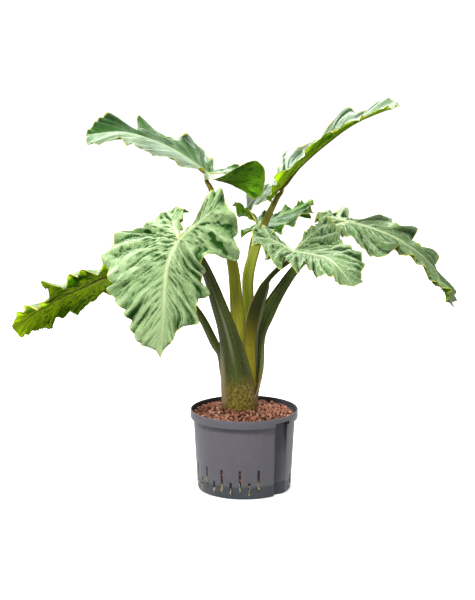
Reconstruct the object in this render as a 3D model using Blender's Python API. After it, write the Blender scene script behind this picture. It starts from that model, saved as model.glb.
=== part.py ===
"""A potted alocasia: seven ruffled leaves on bundled stalks, in a slotted pot of clay granules.

Metres, +Z up, the plant's front facing -Y. The origin is the middle of the pot's flat underside.
"""

import bmesh
import bpy
import numpy as np
from mathutils.bvhtree import BVHTree

# Pot: a round tapering cup with a rolled rim, a niche for a water gauge and drain slits.
POT_HEIGHT = 0.190
RIM_RADIUS = 0.125
RIM_HEIGHT = 0.020
RIM_LIP = 0.0065                  # how far the rim band stands out from the wall
WALL_TOP_RADIUS = 0.118
WALL_BOTTOM_RADIUS = 0.109
WALL = 0.0026
CORNER_RADIUS = 0.008
FLOOR = 0.0035
POT_SEGMENTS = 60
GAP = 0.0003                      # between two pieces that touch on the real thing
CLEAR = GAP + 0.0001              # the same from a round wall, whose facets run inside its radius

# Niche for the water gauge, in plan: across and towards the back, outside corners beyond the wall.
NICHE_PLAN = [(0.0760, -0.1240), (0.0643, -0.0660), (0.0909, -0.0545), (0.1290, -0.1000)]
NICHE_TOP = POT_HEIGHT - 0.011

# Drain slits, all round: a high ring and a low ring that is turned by half a step.
SLIT_WIDTH = 0.005
SLIT_STEP = 22.5                  # degrees
HIGH_SLITS = dict(first=17.2, bottom=0.019, top=0.070)
LOW_SLITS = dict(first=5.95, bottom=0.0105, top=0.041)
SLITS_PER_RING = 14               # the niche takes the place of the others

# Filling: a root mat below, clay granules above, mounded a little at the stem.
ROOT_MAT_TOP = 0.078
GRANULE_EDGE_LEVEL = 0.179
GRANULE_STEM_LEVEL = 0.194
GRANULE_RELIEF = 0.0028
STEM_CENTRE = (-0.0107, 0.005)
STEM_FOOT = 0.130                 # bottom of the stem, down among the granules
STEM_STRAIGHT_TO = 0.199          # above the granules it widens and is ribbed
STEM_TOP = 0.207
STEM_RIBS = 9
STEM_RIB = 0.0012
STEM_RADIUS = 0.0405
STEM_TOP_RADIUS = 0.0440

# Blades
BLADE_THICKNESS = 0.0009
RIB_DEPTH = 0.0035                # of the midrib below the blade, at the stalk
RIB_TIP_DEPTH = 0.0008
ACROSS_LEVELS = (0.0, 0.08, 0.5, 1.0)
STEPS_PER_VEIN = 2
CURVE_STEPS = 40                  # per stretch of a midrib
WAVES = 8                         # ripples along each margin

# Vein rays of one half of a flat blade, tip first: where each ray ends (along, across) and where it
# starts on the ribs. Along is in blade lengths ahead of the stalk and in lobe lengths behind it, across
# is in half widths. A start above 0 is on the midrib, one below 0 is on the rib of the back lobe.
RAYS = [
    (1.00, 0.00, 1.00), (0.95, 0.08, 0.90), (0.88, 0.20, 0.79), (0.79, 0.34, 0.67), (0.70, 0.47, 0.55),
    (0.60, 0.60, 0.43), (0.48, 0.71, 0.32), (0.36, 0.81, 0.22), (0.22, 0.90, 0.13), (0.06, 0.97, 0.05),
    (-0.13, 1.00, 0.00), (-0.36, 0.95, -0.25), (-0.60, 0.80, -0.50), (-0.84, 0.52, -0.80),
    (-1.00, 0.22, -1.00), (-0.93, 0.07, -0.80), (-0.62, 0.01, -0.50), (-0.30, 0.00, -0.25),
    (0.00, 0.00, 0.00),
]
LOBE_END_ACROSS = 0.22            # the ray that ends each back lobe, in half widths
LOBE_RIB_END = (-0.62, 0.24)

# One leaf each. axis: the midrib from stalk to tip. ends: the ends of the two back lobes. face: which
# way the upper side looks at each axis point. width, fold, curl: for the two halves, the folds and
# curls in degrees at the lobe end, the stalk, the middle and the tip. reach: how far each vein ray
# runs, as a share of the even outline, which makes the teeth and bays of the margin.
LEAVES = {
    "a": dict(
        axis=[(-0.083, 0.030, 0.737), (-0.141, 0.050, 0.776), (-0.200, 0.060, 0.805), (-0.278, 0.050, 0.829),
              (-0.362, 0.040, 0.824)],
        ends=[(0.038, 0.000, 0.690), (0.036, 0.060, 0.742)],
        face=[(0.1, 0.0, 1), (-0.1, -0.05, 1), (-0.2, -0.05, 1), (-0.2, -0.1, 1), (-0.2, -0.3, 0.8)],
        width=[0.120, 0.120],
        fold=[(140, -25, -25, -20), (35, 15, 15, 40)],
        curl=[(0, 0, 0, 0), (0, 0, 0, 0)],
        reach=[(1, 2.1, 1.6, .7, .75, .75, .45, .36, .18, .06, .1, .3, .9, 1.05, 1, 1, .3, .4, 1),
               (1, 1.5, 1.3, 1.2, .5, 1.05, .6, .65, .75, .3, .3, .4, .5, .6, .8, 1, 1, 1, 1)],
        wave=0.006, seed=3),
    "b": dict(
        axis=[(-0.147, -0.120, 0.611), (-0.170, -0.150, 0.564), (-0.177, -0.175, 0.506),
              (-0.179, -0.190, 0.446), (-0.187, -0.200, 0.355)],
        ends=[(-0.050, -0.070, 0.716), (-0.150, -0.030, 0.665)],
        face=[(0, -0.8, 0.6), (0, -0.85, 0.5), (0, -0.9, 0.4), (0, -0.95, 0.3), (0, -1, 0.2)],
        width=[0.165, 0.210],
        fold=[(0, -5, -5, 5), (-45, -36, -15, 0)],
        curl=[(-15, -20, -30, 0), (10, 0, -5, 0)],
        reach=[(1, .5, .7, .65, .95, .72, .84, .56, .57, .42, .83, .71, .8, .72, .9, .95, .35, .4, 1),
               (1, .8, 1.17, .98, .84, .83, .88, .8, .96, .88, .97, .62, .6, .85, 1.05, 1, .7, .8, 1)],
        wave=0.010, seed=2),
    "c": dict(
        axis=[(-0.255, 0.090, 0.515), (-0.310, 0.085, 0.492), (-0.373, 0.080, 0.464), (-0.463, 0.070, 0.420),
              (-0.540, 0.060, 0.366)],
        ends=[(-0.196, 0.060, 0.570), (-0.199, 0.130, 0.480)],
        face=[(-0.1, 0.45, 0.8), (-0.1, 0.45, 0.8), (-0.1, 0.45, 0.8), (-0.1, 0.5, 0.7), (-0.1, 0.7, 0.6)],
        width=[0.130, 0.130],
        fold=[(0, 0, 0, 0), (0, 0, 0, 0)],
        curl=[(0, 0, 0, 0), (0, 0, 0, 0)],
        reach=[(1, 1.7, .9, .45, .6, 1.2, .9, .9, .65, .7, .45, .6, .8, .9, 1, 1, 1, 1, 1),
               (1, 2.3, 1.85, 1.4, 1.4, 1.05, 1.17, 1.0, .85, .8, .5, .7, .8, 1, 1, 1, 1, 1, 1)],
        wave=0.010, seed=4),
    "d": dict(
        axis=[(0.087, 0.060, 0.701), (0.128, 0.070, 0.746), (0.186, 0.080, 0.796), (0.260, 0.090, 0.847),
              (0.357, 0.100, 0.885)],
        ends=[(0.004, 0.130, 0.645), (0.055, 0.040, 0.673)],
        face=[(-0.7, -0.4, 0.7), (-0.7, -0.4, 0.7), (-0.6, -0.4, 0.8), (-0.5, -0.4, 0.9), (-0.3, -0.3, 0.9)],
        width=[0.130, 0.075],
        fold=[(20, 20, 15, 10), (50, 50, 50, 30)],
        curl=[(0, 0, 0, 0), (0, 0, 0, 0)],
        reach=[(1, 2.0, 1.5, .55, .95, .38, .42, .35, .66, .24, .3, .25, .35, .6, 1, 1, 1, 1, 1),
               (1, 1.2, 1.2, .5, .8, .5, 1, .5, .9, .5, .9, .6, .8, .8, 1, 1, 1, 1, 1)],
        wave=0.008, seed=5),
    "e": dict(
        axis=[(0.111, -0.100, 0.580), (0.151, -0.170, 0.585), (0.182, -0.220, 0.586), (0.209, -0.260, 0.567),
              (0.235, -0.280, 0.534)],
        ends=[(0.170, -0.045, 0.639), (0.022, -0.030, 0.625)],
        face=[(0.1, -0.5, 0.8), (0.1, -0.5, 0.8), (0.15, -0.6, 0.7), (0.2, -0.8, 0.6), (0.2, -0.8, 0.6)],
        width=[0.120, 0.120],
        fold=[(0, -10, -10, 0), (10, 10, 0, 0)],
        curl=[(0, 0, 0, 0), (-20, -20, 0, 0)],
        reach=[(1, 2.4, 1.5, 1.5, 1.15, .95, .95, .85, 1, 1.0, .95, .95, 1, .9, 1, 1, .9, .9, 1),
               (1, 1.2, 1.1, .9, 1, .85, .85, .7, .75, .6, .6, .5, .7, .7, 1, 1, 1, 1, 1)],
        wave=0.010, seed=6),
    "f": dict(
        axis=[(0.239, 0.000, 0.631), (0.300, -0.010, 0.614), (0.364, -0.020, 0.584), (0.429, -0.020, 0.530),
              (0.483, -0.020, 0.430)],
        ends=[(0.165, 0.050, 0.638), (0.158, 0.018, 0.618)],
        face=[(0.1, -0.1, 1), (0.2, -0.1, 1), (0.4, -0.1, 0.9), (0.6, -0.1, 0.8), (0.8, -0.1, 0.4)],
        width=[0.120, 0.120],
        fold=[(15, 0, 15, 5), (-10, -30, -20, 0)],
        curl=[(0, -10, 0, 0), (0, -40, -30, 0)],
        reach=[(1, 1.2, 2.0, .8, .7, .4, .85, .6, 1.2, .12, .4, .6, .75, .55, .9, 1, 1, 1, 1),
               (1, 1.2, 1, .8, .75, .45, .4, .75, .65, .42, .35, .35, .5, .6, .8, 1, 1, 1, 1)],
        wave=0.010, seed=7),
    "g": dict(
        axis=[(0.032, 0.110, 0.607), (0.072, 0.155, 0.612), (0.109, 0.205, 0.621), (0.139, 0.245, 0.628),
              (0.164, 0.280, 0.638)],
        ends=[(-0.003, 0.140, 0.646), (-0.001, 0.075, 0.587)],
        face=[(0, -0.3, 1), (-0.1, -0.3, 1), (-0.1, -0.3, 1), (-0.1, -0.3, 1), (-0.1, -0.3, 1)],
        width=[0.100, 0.100],
        fold=[(10, 10, 10, 0), (10, 10, 10, 0)],
        curl=[(0, 0, 0, 0), (0, 0, 0, 0)],
        reach=[(1, .6, .5, .25, .35, .3, .3, .4, .45, .5, .6, .7, .8, .8, 1, 1, 1, 1, 1),
               (1, 1.2, 1, .85, 1, .85, 1, .85, .75, .85, .8, .85, 1, .85, 1, 1, 1, 1, 1)],
        wave=0.010, seed=8),
}

# One leaf stalk each, foot to leaf: x, y, z, half width, half depth and how hollow its inner side is.
# out: which way its rounded outer side looks, in plan. turn: how far its end turns to face the blade.
STALKS = {
    "a": dict(out=(0.0, -1.0), turn=0.3, route=[
        (-0.020, 0.000, 0.2076, 0.0120, 0.0085, 0.2), (-0.014, 0.004, 0.340, 0.0150, 0.0085, 0.2),
        (-0.017, 0.006, 0.420, 0.0155, 0.0080, 0.2), (-0.027, 0.008, 0.530, 0.0125, 0.0075, 0.1),
        (-0.053, 0.015, 0.619, 0.0090, 0.0070, 0.0), (-0.074, 0.022, 0.695, 0.0065, 0.0055, 0.0)]),
    "b": dict(out=(-0.2, -1.0), turn=0.3, route=[
        (-0.014, -0.023, 0.2076, 0.0320, 0.0090, 0.4), (-0.025, -0.030, 0.312, 0.0330, 0.0095, 0.4),
        (-0.040, -0.034, 0.384, 0.0225, 0.0100, 0.3), (-0.060, -0.040, 0.448, 0.0180, 0.0090, 0.2),
        (-0.078, -0.048, 0.503, 0.0135, 0.0080, 0.1), (-0.098, -0.062, 0.552, 0.0100, 0.0075, 0.0),
        (-0.122, -0.085, 0.586, 0.0075, 0.0065, 0.0)]),
    "c": dict(out=(-0.7, -1.0), turn=0.3, route=[
        (-0.043, 0.001, 0.2076, 0.0120, 0.0065, 0.2), (-0.051, 0.000, 0.305, 0.0125, 0.0070, 0.2),
        (-0.070, 0.002, 0.347, 0.0120, 0.0070, 0.1), (-0.109, 0.010, 0.419, 0.0095, 0.0065, 0.0),
        (-0.172, 0.040, 0.474, 0.0075, 0.0060, 0.0), (-0.223, 0.074, 0.496, 0.0060, 0.0055, 0.0)]),
    "d": dict(out=(0.3, 1.0), turn=0.0, route=[
        (-0.004, 0.019, 0.2076, 0.0120, 0.0075, 0.2), (0.004, 0.024, 0.335, 0.0130, 0.0085, 0.1),
        (0.009, 0.030, 0.429, 0.0135, 0.0080, 0.0), (0.011, 0.036, 0.506, 0.0135, 0.0075, 0.0),
        (0.041, 0.048, 0.602, 0.0095, 0.0065, 0.0), (0.073, 0.056, 0.671, 0.0065, 0.0055, 0.0)]),
    "e": dict(out=(0.6, -1.0), turn=0.3, route=[
        (0.018, -0.004, 0.2076, 0.0130, 0.0070, 0.3), (0.016, -0.010, 0.344, 0.0180, 0.0085, 0.6),
        (0.027, -0.024, 0.424, 0.0200, 0.0085, 0.8), (0.045, -0.034, 0.482, 0.0140, 0.0070, 0.6),
        (0.052, -0.038, 0.500, 0.0075, 0.0060, 0.1), (0.074, -0.055, 0.528, 0.0065, 0.0060, 0.0),
        (0.098, -0.078, 0.551, 0.0060, 0.0055, 0.0)]),
    "f": dict(out=(0.3, 1.0), turn=0.3, route=[
        (0.019, 0.014, 0.2076, 0.0110, 0.0070, 0.2), (0.034, 0.016, 0.339, 0.0140, 0.0080, 0.2),
        (0.055, 0.014, 0.415, 0.0175, 0.0085, 0.4), (0.089, 0.010, 0.477, 0.0130, 0.0080, 0.2),
        (0.126, 0.004, 0.529, 0.0105, 0.0070, 0.0), (0.185, 0.000, 0.587, 0.0080, 0.0060, 0.0)]),
    "g": dict(out=(0.0, 1.0), turn=0.3, route=[
        (-0.014, 0.036, 0.2076, 0.0120, 0.0070, 0.2), (0.004, 0.042, 0.331, 0.0100, 0.0070, 0.1),
        (0.007, 0.050, 0.415, 0.0090, 0.0065, 0.0), (0.011, 0.068, 0.508, 0.0075, 0.0060, 0.0),
        (0.020, 0.087, 0.568, 0.0060, 0.0055, 0.0)]),
}
STALK_SIDES = 12
STALK_STEPS = 3                   # rings per stretch of the route
STALK_END = (0.0038, 0.0034, 0.0)     # half width, half depth and hollow where the stalk meets the blade
STALK_APPROACH = 0.012            # the straight stretch before its end
STALK_FIRST_CLEARANCE = 0.0012    # below the rib, before the end is moved up to its seat
STALK_SEAT = 0.00055              # between the end and the blade, once seated
SEATING_ROUNDS = 8
STALK_HOLLOW = 1.6                # how deep the inner side of a fully hollow stalk lies, in half depths
SHEATH_WRAP = 0.060               # radius that wide stalk feet bend round

# Roots whose tips stand in the drain slits
ROOT_RADIUS = 0.0014
ROOT_SIDES = 5
ROOT_INNER_RADIUS = 0.096
ROOT_PROUD = 0.0012               # beyond the pot's wall
ROOT_FROM_SLIT_END = 0.009
ROOT_LEAN = 0.006


def smooth(points, count):
    """A Catmull-Rom curve through the points, with count steps per stretch."""
    p = np.asarray(points, float)
    p = np.vstack([2 * p[0] - p[1], p, 2 * p[-1] - p[-2]])
    stretches = []
    for i in range(1, len(p) - 2):
        t = np.arange(count)[:, None] / count
        a, b, c, d = p[i - 1:i + 3]
        square = (2 * a - 5 * b + 4 * c - d) * t**2
        cube = (3 * b - a - 3 * c + d) * t**3
        stretches.append(0.5 * (2 * b + (c - a) * t + square + cube))
    return np.vstack([*stretches, p[-2][None]])


def distance_along(curve):
    steps = np.linalg.norm(np.diff(curve, axis=0), axis=1)
    return np.concatenate([[0], np.cumsum(steps)])


def unit(v):
    return v / np.maximum(np.linalg.norm(v, axis=-1, keepdims=True), 1e-12)


def square_to(v, axis):
    """The part of v that is square to axis, at length 1."""
    return unit(v - (v * axis).sum(-1, keepdims=True) * axis)


def interpolate(x, stations, rows):
    rows = np.asarray(rows, float)
    return np.stack([np.interp(x, stations, rows[:, k]) for k in range(rows.shape[1])], -1)


def material(name, colour, roughness):
    made = bpy.data.materials.new(name)
    made.use_nodes = True
    shader = made.node_tree.nodes["Principled BSDF"]
    shader.inputs["Base Color"].default_value = (*colour, 1)
    shader.inputs["Roughness"].default_value = roughness
    return made


def mesh_object(name, points, faces, its_material, smoothed=True):
    mesh = bpy.data.meshes.new(name)
    mesh.from_pydata([tuple(p) for p in points], [], faces)
    build = bmesh.new()
    build.from_mesh(mesh)
    bmesh.ops.remove_doubles(build, verts=build.verts, dist=1e-6)
    bmesh.ops.recalc_face_normals(build, faces=build.faces)
    build.to_mesh(mesh)
    build.free()
    for polygon in mesh.polygons:
        polygon.use_smooth = smoothed
    mesh.materials.append(its_material)
    made = bpy.data.objects.new(name, mesh)
    bpy.context.scene.collection.objects.link(made)
    return made


def loft(rings):
    """Points and faces of a closed solid through rings of as many points each, with flat ends."""
    rings = np.asarray(rings)
    count, sides = rings.shape[:2]
    faces = []
    for i in range(count - 1):
        for k in range(sides):
            n = (k + 1) % sides
            faces.append((i * sides + k, i * sides + n, (i + 1) * sides + n, (i + 1) * sides + k))
    faces.append(tuple(range(sides))[::-1])
    faces.append(tuple((count - 1) * sides + k for k in range(sides)))
    return rings.reshape(-1, 3), faces


def lofted(name, rings, its_material, smoothed=True):
    return mesh_object(name, *loft(rings), its_material, smoothed)


def ring_at(radius, z, centre=(0.0, 0.0)):
    """A level ring of points; radius and z may be one value or one for each point."""
    turn = np.arange(POT_SEGMENTS) * 2 * np.pi / POT_SEGMENTS
    x = centre[0] + radius * np.sin(turn)
    y = centre[1] - radius * np.cos(turn)
    return np.stack([x, y, np.broadcast_to(z, turn.shape)], -1)


def turned(name, profile, its_material, smoothed=True):
    """A closed solid of revolution; the profile runs from its lowest ring to its last, as (radius, z)."""
    return lofted(name, [ring_at(r, z) for r, z in profile], its_material, smoothed)


def prism(name, plan, bottom, top):
    rings = [[(x, y, z) for x, y in plan] for z in (bottom, top)]
    return lofted(name, rings, None, False)


def grown(plan, by):
    """The convex plan with every side moved outwards."""
    plan = np.asarray(plan, float)
    middle = plan.mean(0)
    lines = []
    for p, q in zip(plan, np.roll(plan, -1, 0)):
        normal = np.array([q[1] - p[1], p[0] - q[0]]) / np.linalg.norm(q - p)
        normal *= np.sign(normal @ (p - middle))
        lines.append((normal, normal @ p + by))
    corners = []
    for (m, c), (n, d) in zip([lines[-1], *lines[:-1]], lines):
        corners.append(np.linalg.solve([m, n], [c, d]))
    return corners


def combine(target, other, operation="DIFFERENCE"):
    """Applies a Boolean with an object, or with a collection's objects, and removes what it used."""
    step = target.modifiers.new(operation.title(), "BOOLEAN")
    step.operation = operation
    step.solver = "EXACT"
    if isinstance(other, bpy.types.Collection):
        step.operand_type = "COLLECTION"
        step.collection = other
        used = list(other.objects)
    else:
        step.object = other
        used = [other]
    evaluated = target.evaluated_get(bpy.context.evaluated_depsgraph_get())
    result = bpy.data.meshes.new_from_object(evaluated)
    target.modifiers.clear()
    old = target.data
    target.data = result
    bpy.data.meshes.remove(old)
    for piece in used:
        bpy.data.objects.remove(piece)
    if isinstance(other, bpy.types.Collection):
        bpy.data.collections.remove(other)


def wall_radius(z):
    """The outside of the pot's wall below its rim."""
    share = (z - CORNER_RADIUS) / (POT_HEIGHT - RIM_HEIGHT - CORNER_RADIUS)
    return WALL_BOTTOM_RADIUS + share * (WALL_TOP_RADIUS - WALL_BOTTOM_RADIUS)


def niche(grow, top):
    return prism("niche", grown(NICHE_PLAN, grow), -0.01, top)


def slit_angles():
    """Degrees from the front towards +X, of the high slits and of the low ones."""
    high = [HIGH_SLITS["first"] - SLIT_STEP * k for k in range(SLITS_PER_RING)]
    low = [LOW_SLITS["first"] - SLIT_STEP * k for k in range(SLITS_PER_RING)]
    return high, low


def slit_cutter():
    """A box through the wall for each slit, all in one object."""
    inside = WALL_BOTTOM_RADIUS - 0.009
    outside = WALL_TOP_RADIUS + 0.009
    points = []
    faces = []
    high, low = slit_angles()
    for angles, slit in ((high, HIGH_SLITS), (low, LOW_SLITS)):
        for angle in np.radians(angles):
            outward = np.array([np.sin(angle), -np.cos(angle), 0])
            across = np.array([np.cos(angle), np.sin(angle), 0])
            first = len(points)
            bottom, top = slit["bottom"], slit["top"]
            for r in (inside, outside):
                for side, z in ((-1, bottom), (1, bottom), (1, top), (-1, top)):
                    points.append(outward * r + across * side * SLIT_WIDTH / 2 + np.array([0, 0, z]))
            box = [(0, 1, 2, 3), (7, 6, 5, 4), (0, 4, 5, 1), (1, 5, 6, 2), (2, 6, 7, 3), (3, 7, 4, 0)]
            faces += [tuple(first + k for k in face) for face in box]
    return mesh_object("slits", points, faces, None, False)


def inner_profile(inset):
    """The pot's inside from its floor to above its rim, moved inwards and upwards by inset."""
    rim_step = POT_HEIGHT - RIM_HEIGHT + 0.0015
    corner = (wall_radius(CORNER_RADIUS) - WALL, CORNER_RADIUS + 0.002)
    floor = (corner[0] - 0.006, FLOOR)
    below_step = (wall_radius(rim_step) - WALL, rim_step)
    above_step = (RIM_RADIUS - WALL, rim_step + 0.003)
    mouth = (RIM_RADIUS - WALL, POT_HEIGHT + 0.005)
    return [(r - inset, z + inset) for r, z in (floor, corner, below_step, above_step, mouth)]


def make_pot():
    rim_bottom = POT_HEIGHT - RIM_HEIGHT
    rim_chamfer = 0.0012
    wall_top = wall_radius(rim_bottom)
    flat_radius = WALL_BOTTOM_RADIUS - CORNER_RADIUS
    profile = [(flat_radius, 0)]
    for a in np.radians((30, 60, 90)):
        profile.append((flat_radius + CORNER_RADIUS * np.sin(a), CORNER_RADIUS * (1 - np.cos(a))))
    profile += [(wall_top, rim_bottom), (wall_top + RIM_LIP * 0.8, rim_bottom + 0.0005),
                (RIM_RADIUS, rim_bottom + 0.002), (RIM_RADIUS, POT_HEIGHT - rim_chamfer),
                (RIM_RADIUS - rim_chamfer, POT_HEIGHT)]
    grey = material("pot_plastic", (0.165, 0.168, 0.178), 0.55)
    pot = turned("pot", profile, grey)
    hollow = turned("hollow", inner_profile(0.0), None)
    combine(hollow, niche(WALL, NICHE_TOP + WALL))
    combine(pot, hollow)
    combine(pot, niche(0.0, NICHE_TOP))
    combine(pot, slit_cutter())


def stem_radius(z):
    share = np.clip((z - STEM_STRAIGHT_TO) / (STEM_TOP - STEM_STRAIGHT_TO), 0, 1)
    return STEM_RADIUS + share * (STEM_TOP_RADIUS - STEM_RADIUS)


def make_stem_base():
    """The short stem: its foot stands in the granules and its ribbed upper part carries the stalks."""
    turn = np.arange(POT_SEGMENTS) * 2 * np.pi / POT_SEGMENTS
    rings = [ring_at(STEM_RADIUS, STEM_FOOT, STEM_CENTRE)]
    for share in (0, 0.33, 0.67, 1):
        z = STEM_STRAIGHT_TO + share * (STEM_TOP - STEM_STRAIGHT_TO)
        rib = STEM_RIB * min(2 * share, 1) * np.cos(STEM_RIBS * turn)
        rings.append(ring_at(stem_radius(z) + rib, z, STEM_CENTRE))
    lofted("stem_base", rings, material("stem_skin", (0.13, 0.12, 0.03), 0.6))


def make_clay_granules():
    """One body from the root mat up: its top a rough mound of granules, with a round well for the stem."""
    rng = np.random.default_rng(11)
    top_rings = 11
    below_step, above_step = inner_profile(CLEAR)[2:4]
    bottom = ROOT_MAT_TOP + GAP
    rings = [ring_at(wall_radius(bottom) - WALL - CLEAR, bottom), ring_at(*below_step), ring_at(*above_step)]
    outside = ring_at(above_step[0], 0)
    well = ring_at(STEM_RADIUS + GAP, 0, STEM_CENTRE)
    for k in range(top_rings + 1):
        share = k / top_rings
        relief = GRANULE_RELIEF * (0.4 if k in (0, top_rings) else 1)
        ring = outside + (well - outside) * share
        ring[:, 2] = GRANULE_EDGE_LEVEL + (GRANULE_STEM_LEVEL - GRANULE_EDGE_LEVEL) * share**1.5
        ring[:, 2] += relief * rng.uniform(-1, 1, POT_SEGMENTS)
        rings.append(ring)
    rings.append(ring_at(STEM_RADIUS + GAP, STEM_FOOT - GAP, STEM_CENTRE))
    clay = material("fired_clay", (0.28, 0.115, 0.075), 0.9)
    granules = lofted("clay_granules", rings, clay, False)
    clear_of_mound = POT_HEIGHT + 0.05
    combine(granules, niche(WALL + GAP, clear_of_mound))


def make_roots():
    """A mat of roots round the foot of the pot, with a root tip standing in each drain slit."""
    floor, corner = inner_profile(CLEAR)[:2]
    top = (wall_radius(ROOT_MAT_TOP) - WALL - CLEAR, ROOT_MAT_TOP)
    pale = material("root_skin", (0.50, 0.43, 0.24), 0.7)
    mat = turned("roots", [floor, corner, top], pale)
    combine(mat, niche(WALL + GAP, NICHE_TOP))
    rng = np.random.default_rng(5)
    tips = bpy.data.collections.new("root_tips")
    bpy.context.scene.collection.children.link(tips)
    high, low = slit_angles()
    for angles, slit in ((high, HIGH_SLITS), (low, LOW_SLITS)):
        lowest = slit["bottom"] + ROOT_FROM_SLIT_END
        highest = slit["top"] - ROOT_FROM_SLIT_END
        for angle in np.radians(angles):
            middle = rng.uniform(lowest, highest)
            lean = rng.uniform(-ROOT_LEAN, ROOT_LEAN)
            tip = root_tip(angle, middle, lean)
            bpy.context.scene.collection.objects.unlink(tip)
            tips.objects.link(tip)
    combine(mat, tips, "UNION")


def root_tip(angle, z, lean):
    outward = np.array([np.sin(angle), -np.cos(angle), 0])
    across = np.array([np.cos(angle), np.sin(angle), 0])
    turn = np.arange(ROOT_SIDES) * 2 * np.pi / ROOT_SIDES
    rings = []
    for share, size in ((0, 1), (0.8, 1), (1, 0.5)):
        r = ROOT_INNER_RADIUS + share * (wall_radius(z) + ROOT_PROUD - ROOT_INNER_RADIUS)
        at = outward * r + np.array([0, 0, z + lean * share])
        ring = [at + ROOT_RADIUS * size * (across * np.cos(a) + np.array([0, 0, np.sin(a)])) for a in turn]
        rings.append(ring)
    return lofted("root", rings, None)


class Blade:
    """One leaf blade as a formula: flat (along, across) places of either half, put in space."""

    def __init__(self, axis, ends, face, width, fold, curl, reach, wave, seed):
        self.curve = smooth(axis, CURVE_STEPS)
        self.s = distance_along(self.curve)
        self.length = self.s[-1]
        tangent = unit(np.gradient(self.curve, self.s, axis=0))
        knots = np.arange(len(self.curve)) / CURVE_STEPS
        self.normal = square_to(interpolate(knots, range(len(face)), face), tangent)
        self.side = np.cross(self.normal, tangent)
        self.width, self.reach, self.wave, self.seed = width, reach, wave, seed
        self.fold, self.curl = np.radians(fold), np.radians(curl)
        self.lobe = np.zeros((2, 3))
        for half in (0, 1):
            across = np.array(LOBE_END_ACROSS * width[half])
            end = self.place(np.array(-1.0), across, half, np.array(0.0))
            self.lobe[half] = np.asarray(ends[half]) - end

    def place(self, x, y, half, lift):
        """Flat places to space: a half rises by its fold at the midrib and curls further outwards."""
        stations = [-1, 0, 0.5, 1]
        sign = 1 - 2 * half
        fold = np.interp(x, stations, self.fold[half])
        bend = np.interp(x, stations, self.curl[half]) / self.width[half]
        bend = np.where(np.abs(bend) < 1e-6, 1e-6, bend)
        angle = fold + bend * y
        across = (np.sin(angle) - np.sin(fold)) / bend
        up = (np.cos(fold) - np.cos(angle)) / bend
        back = np.clip(-x, 0, None)[..., None]
        s = x * self.length
        centre = interpolate(s, self.s, self.curve) + back * self.lobe[half]
        normal = unit(interpolate(s, self.s, self.normal))
        side = unit(interpolate(s, self.s, self.side))
        outwards = (sign * across)[..., None] * side
        upwards = up[..., None] * normal
        facing = np.cos(angle)[..., None] * normal - (sign * np.sin(angle))[..., None] * side
        return centre + outwards + upwards + lift[..., None] * facing

    def rays(self, half, steps):
        """Each vein ray's place in the row of rays, 0 to 1, and its flat start and end."""
        rays = np.asarray(RAYS)
        start = np.where(rays[:, 2:] > 0, rays[:, 2:] * [1, 0], -rays[:, 2:] * LOBE_RIB_END)
        end = start + (rays[:, :2] - start) * np.asarray(self.reach[half])[:, None]
        fine_end = smooth(end, steps)
        place = np.linspace(0, len(rays) - 1, len(fine_end))
        fine_start = interpolate(place, range(len(rays)), start)
        scale = [1, self.width[half]]
        return place / place[-1], fine_start * scale, fine_end * scale

    def sheet(self, half, steps, levels):
        """Points of one half, a row for each vein ray, with small teeth and a ripple towards the margin."""
        v, start, end = self.rays(half, steps)
        rng = np.random.default_rng(self.seed * 10 + 1 - half)
        along = v * WAVES
        knots = np.arange(WAVES + 3)
        jitter = np.interp(along, knots, rng.uniform(-0.12, 0.12, WAVES + 3))
        size = np.interp(along, knots, rng.uniform(0.6, 1.25, WAVES + 3))
        fade = np.clip(along / 1.2, 0, 1) * np.clip((WAVES - along) / 1.5, 0, 1)
        turn = 2 * np.pi * (along + jitter)
        t = np.asarray(levels)[None, :]
        flat = start[:, None] + (end - start)[:, None] * t[..., None]
        lift = self.wave * (size * fade)[:, None] * t**2 * np.cos(turn + 0.25 * (1 - 2 * half))[:, None]
        return self.place(flat[..., 0], flat[..., 1], half, lift)


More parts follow.
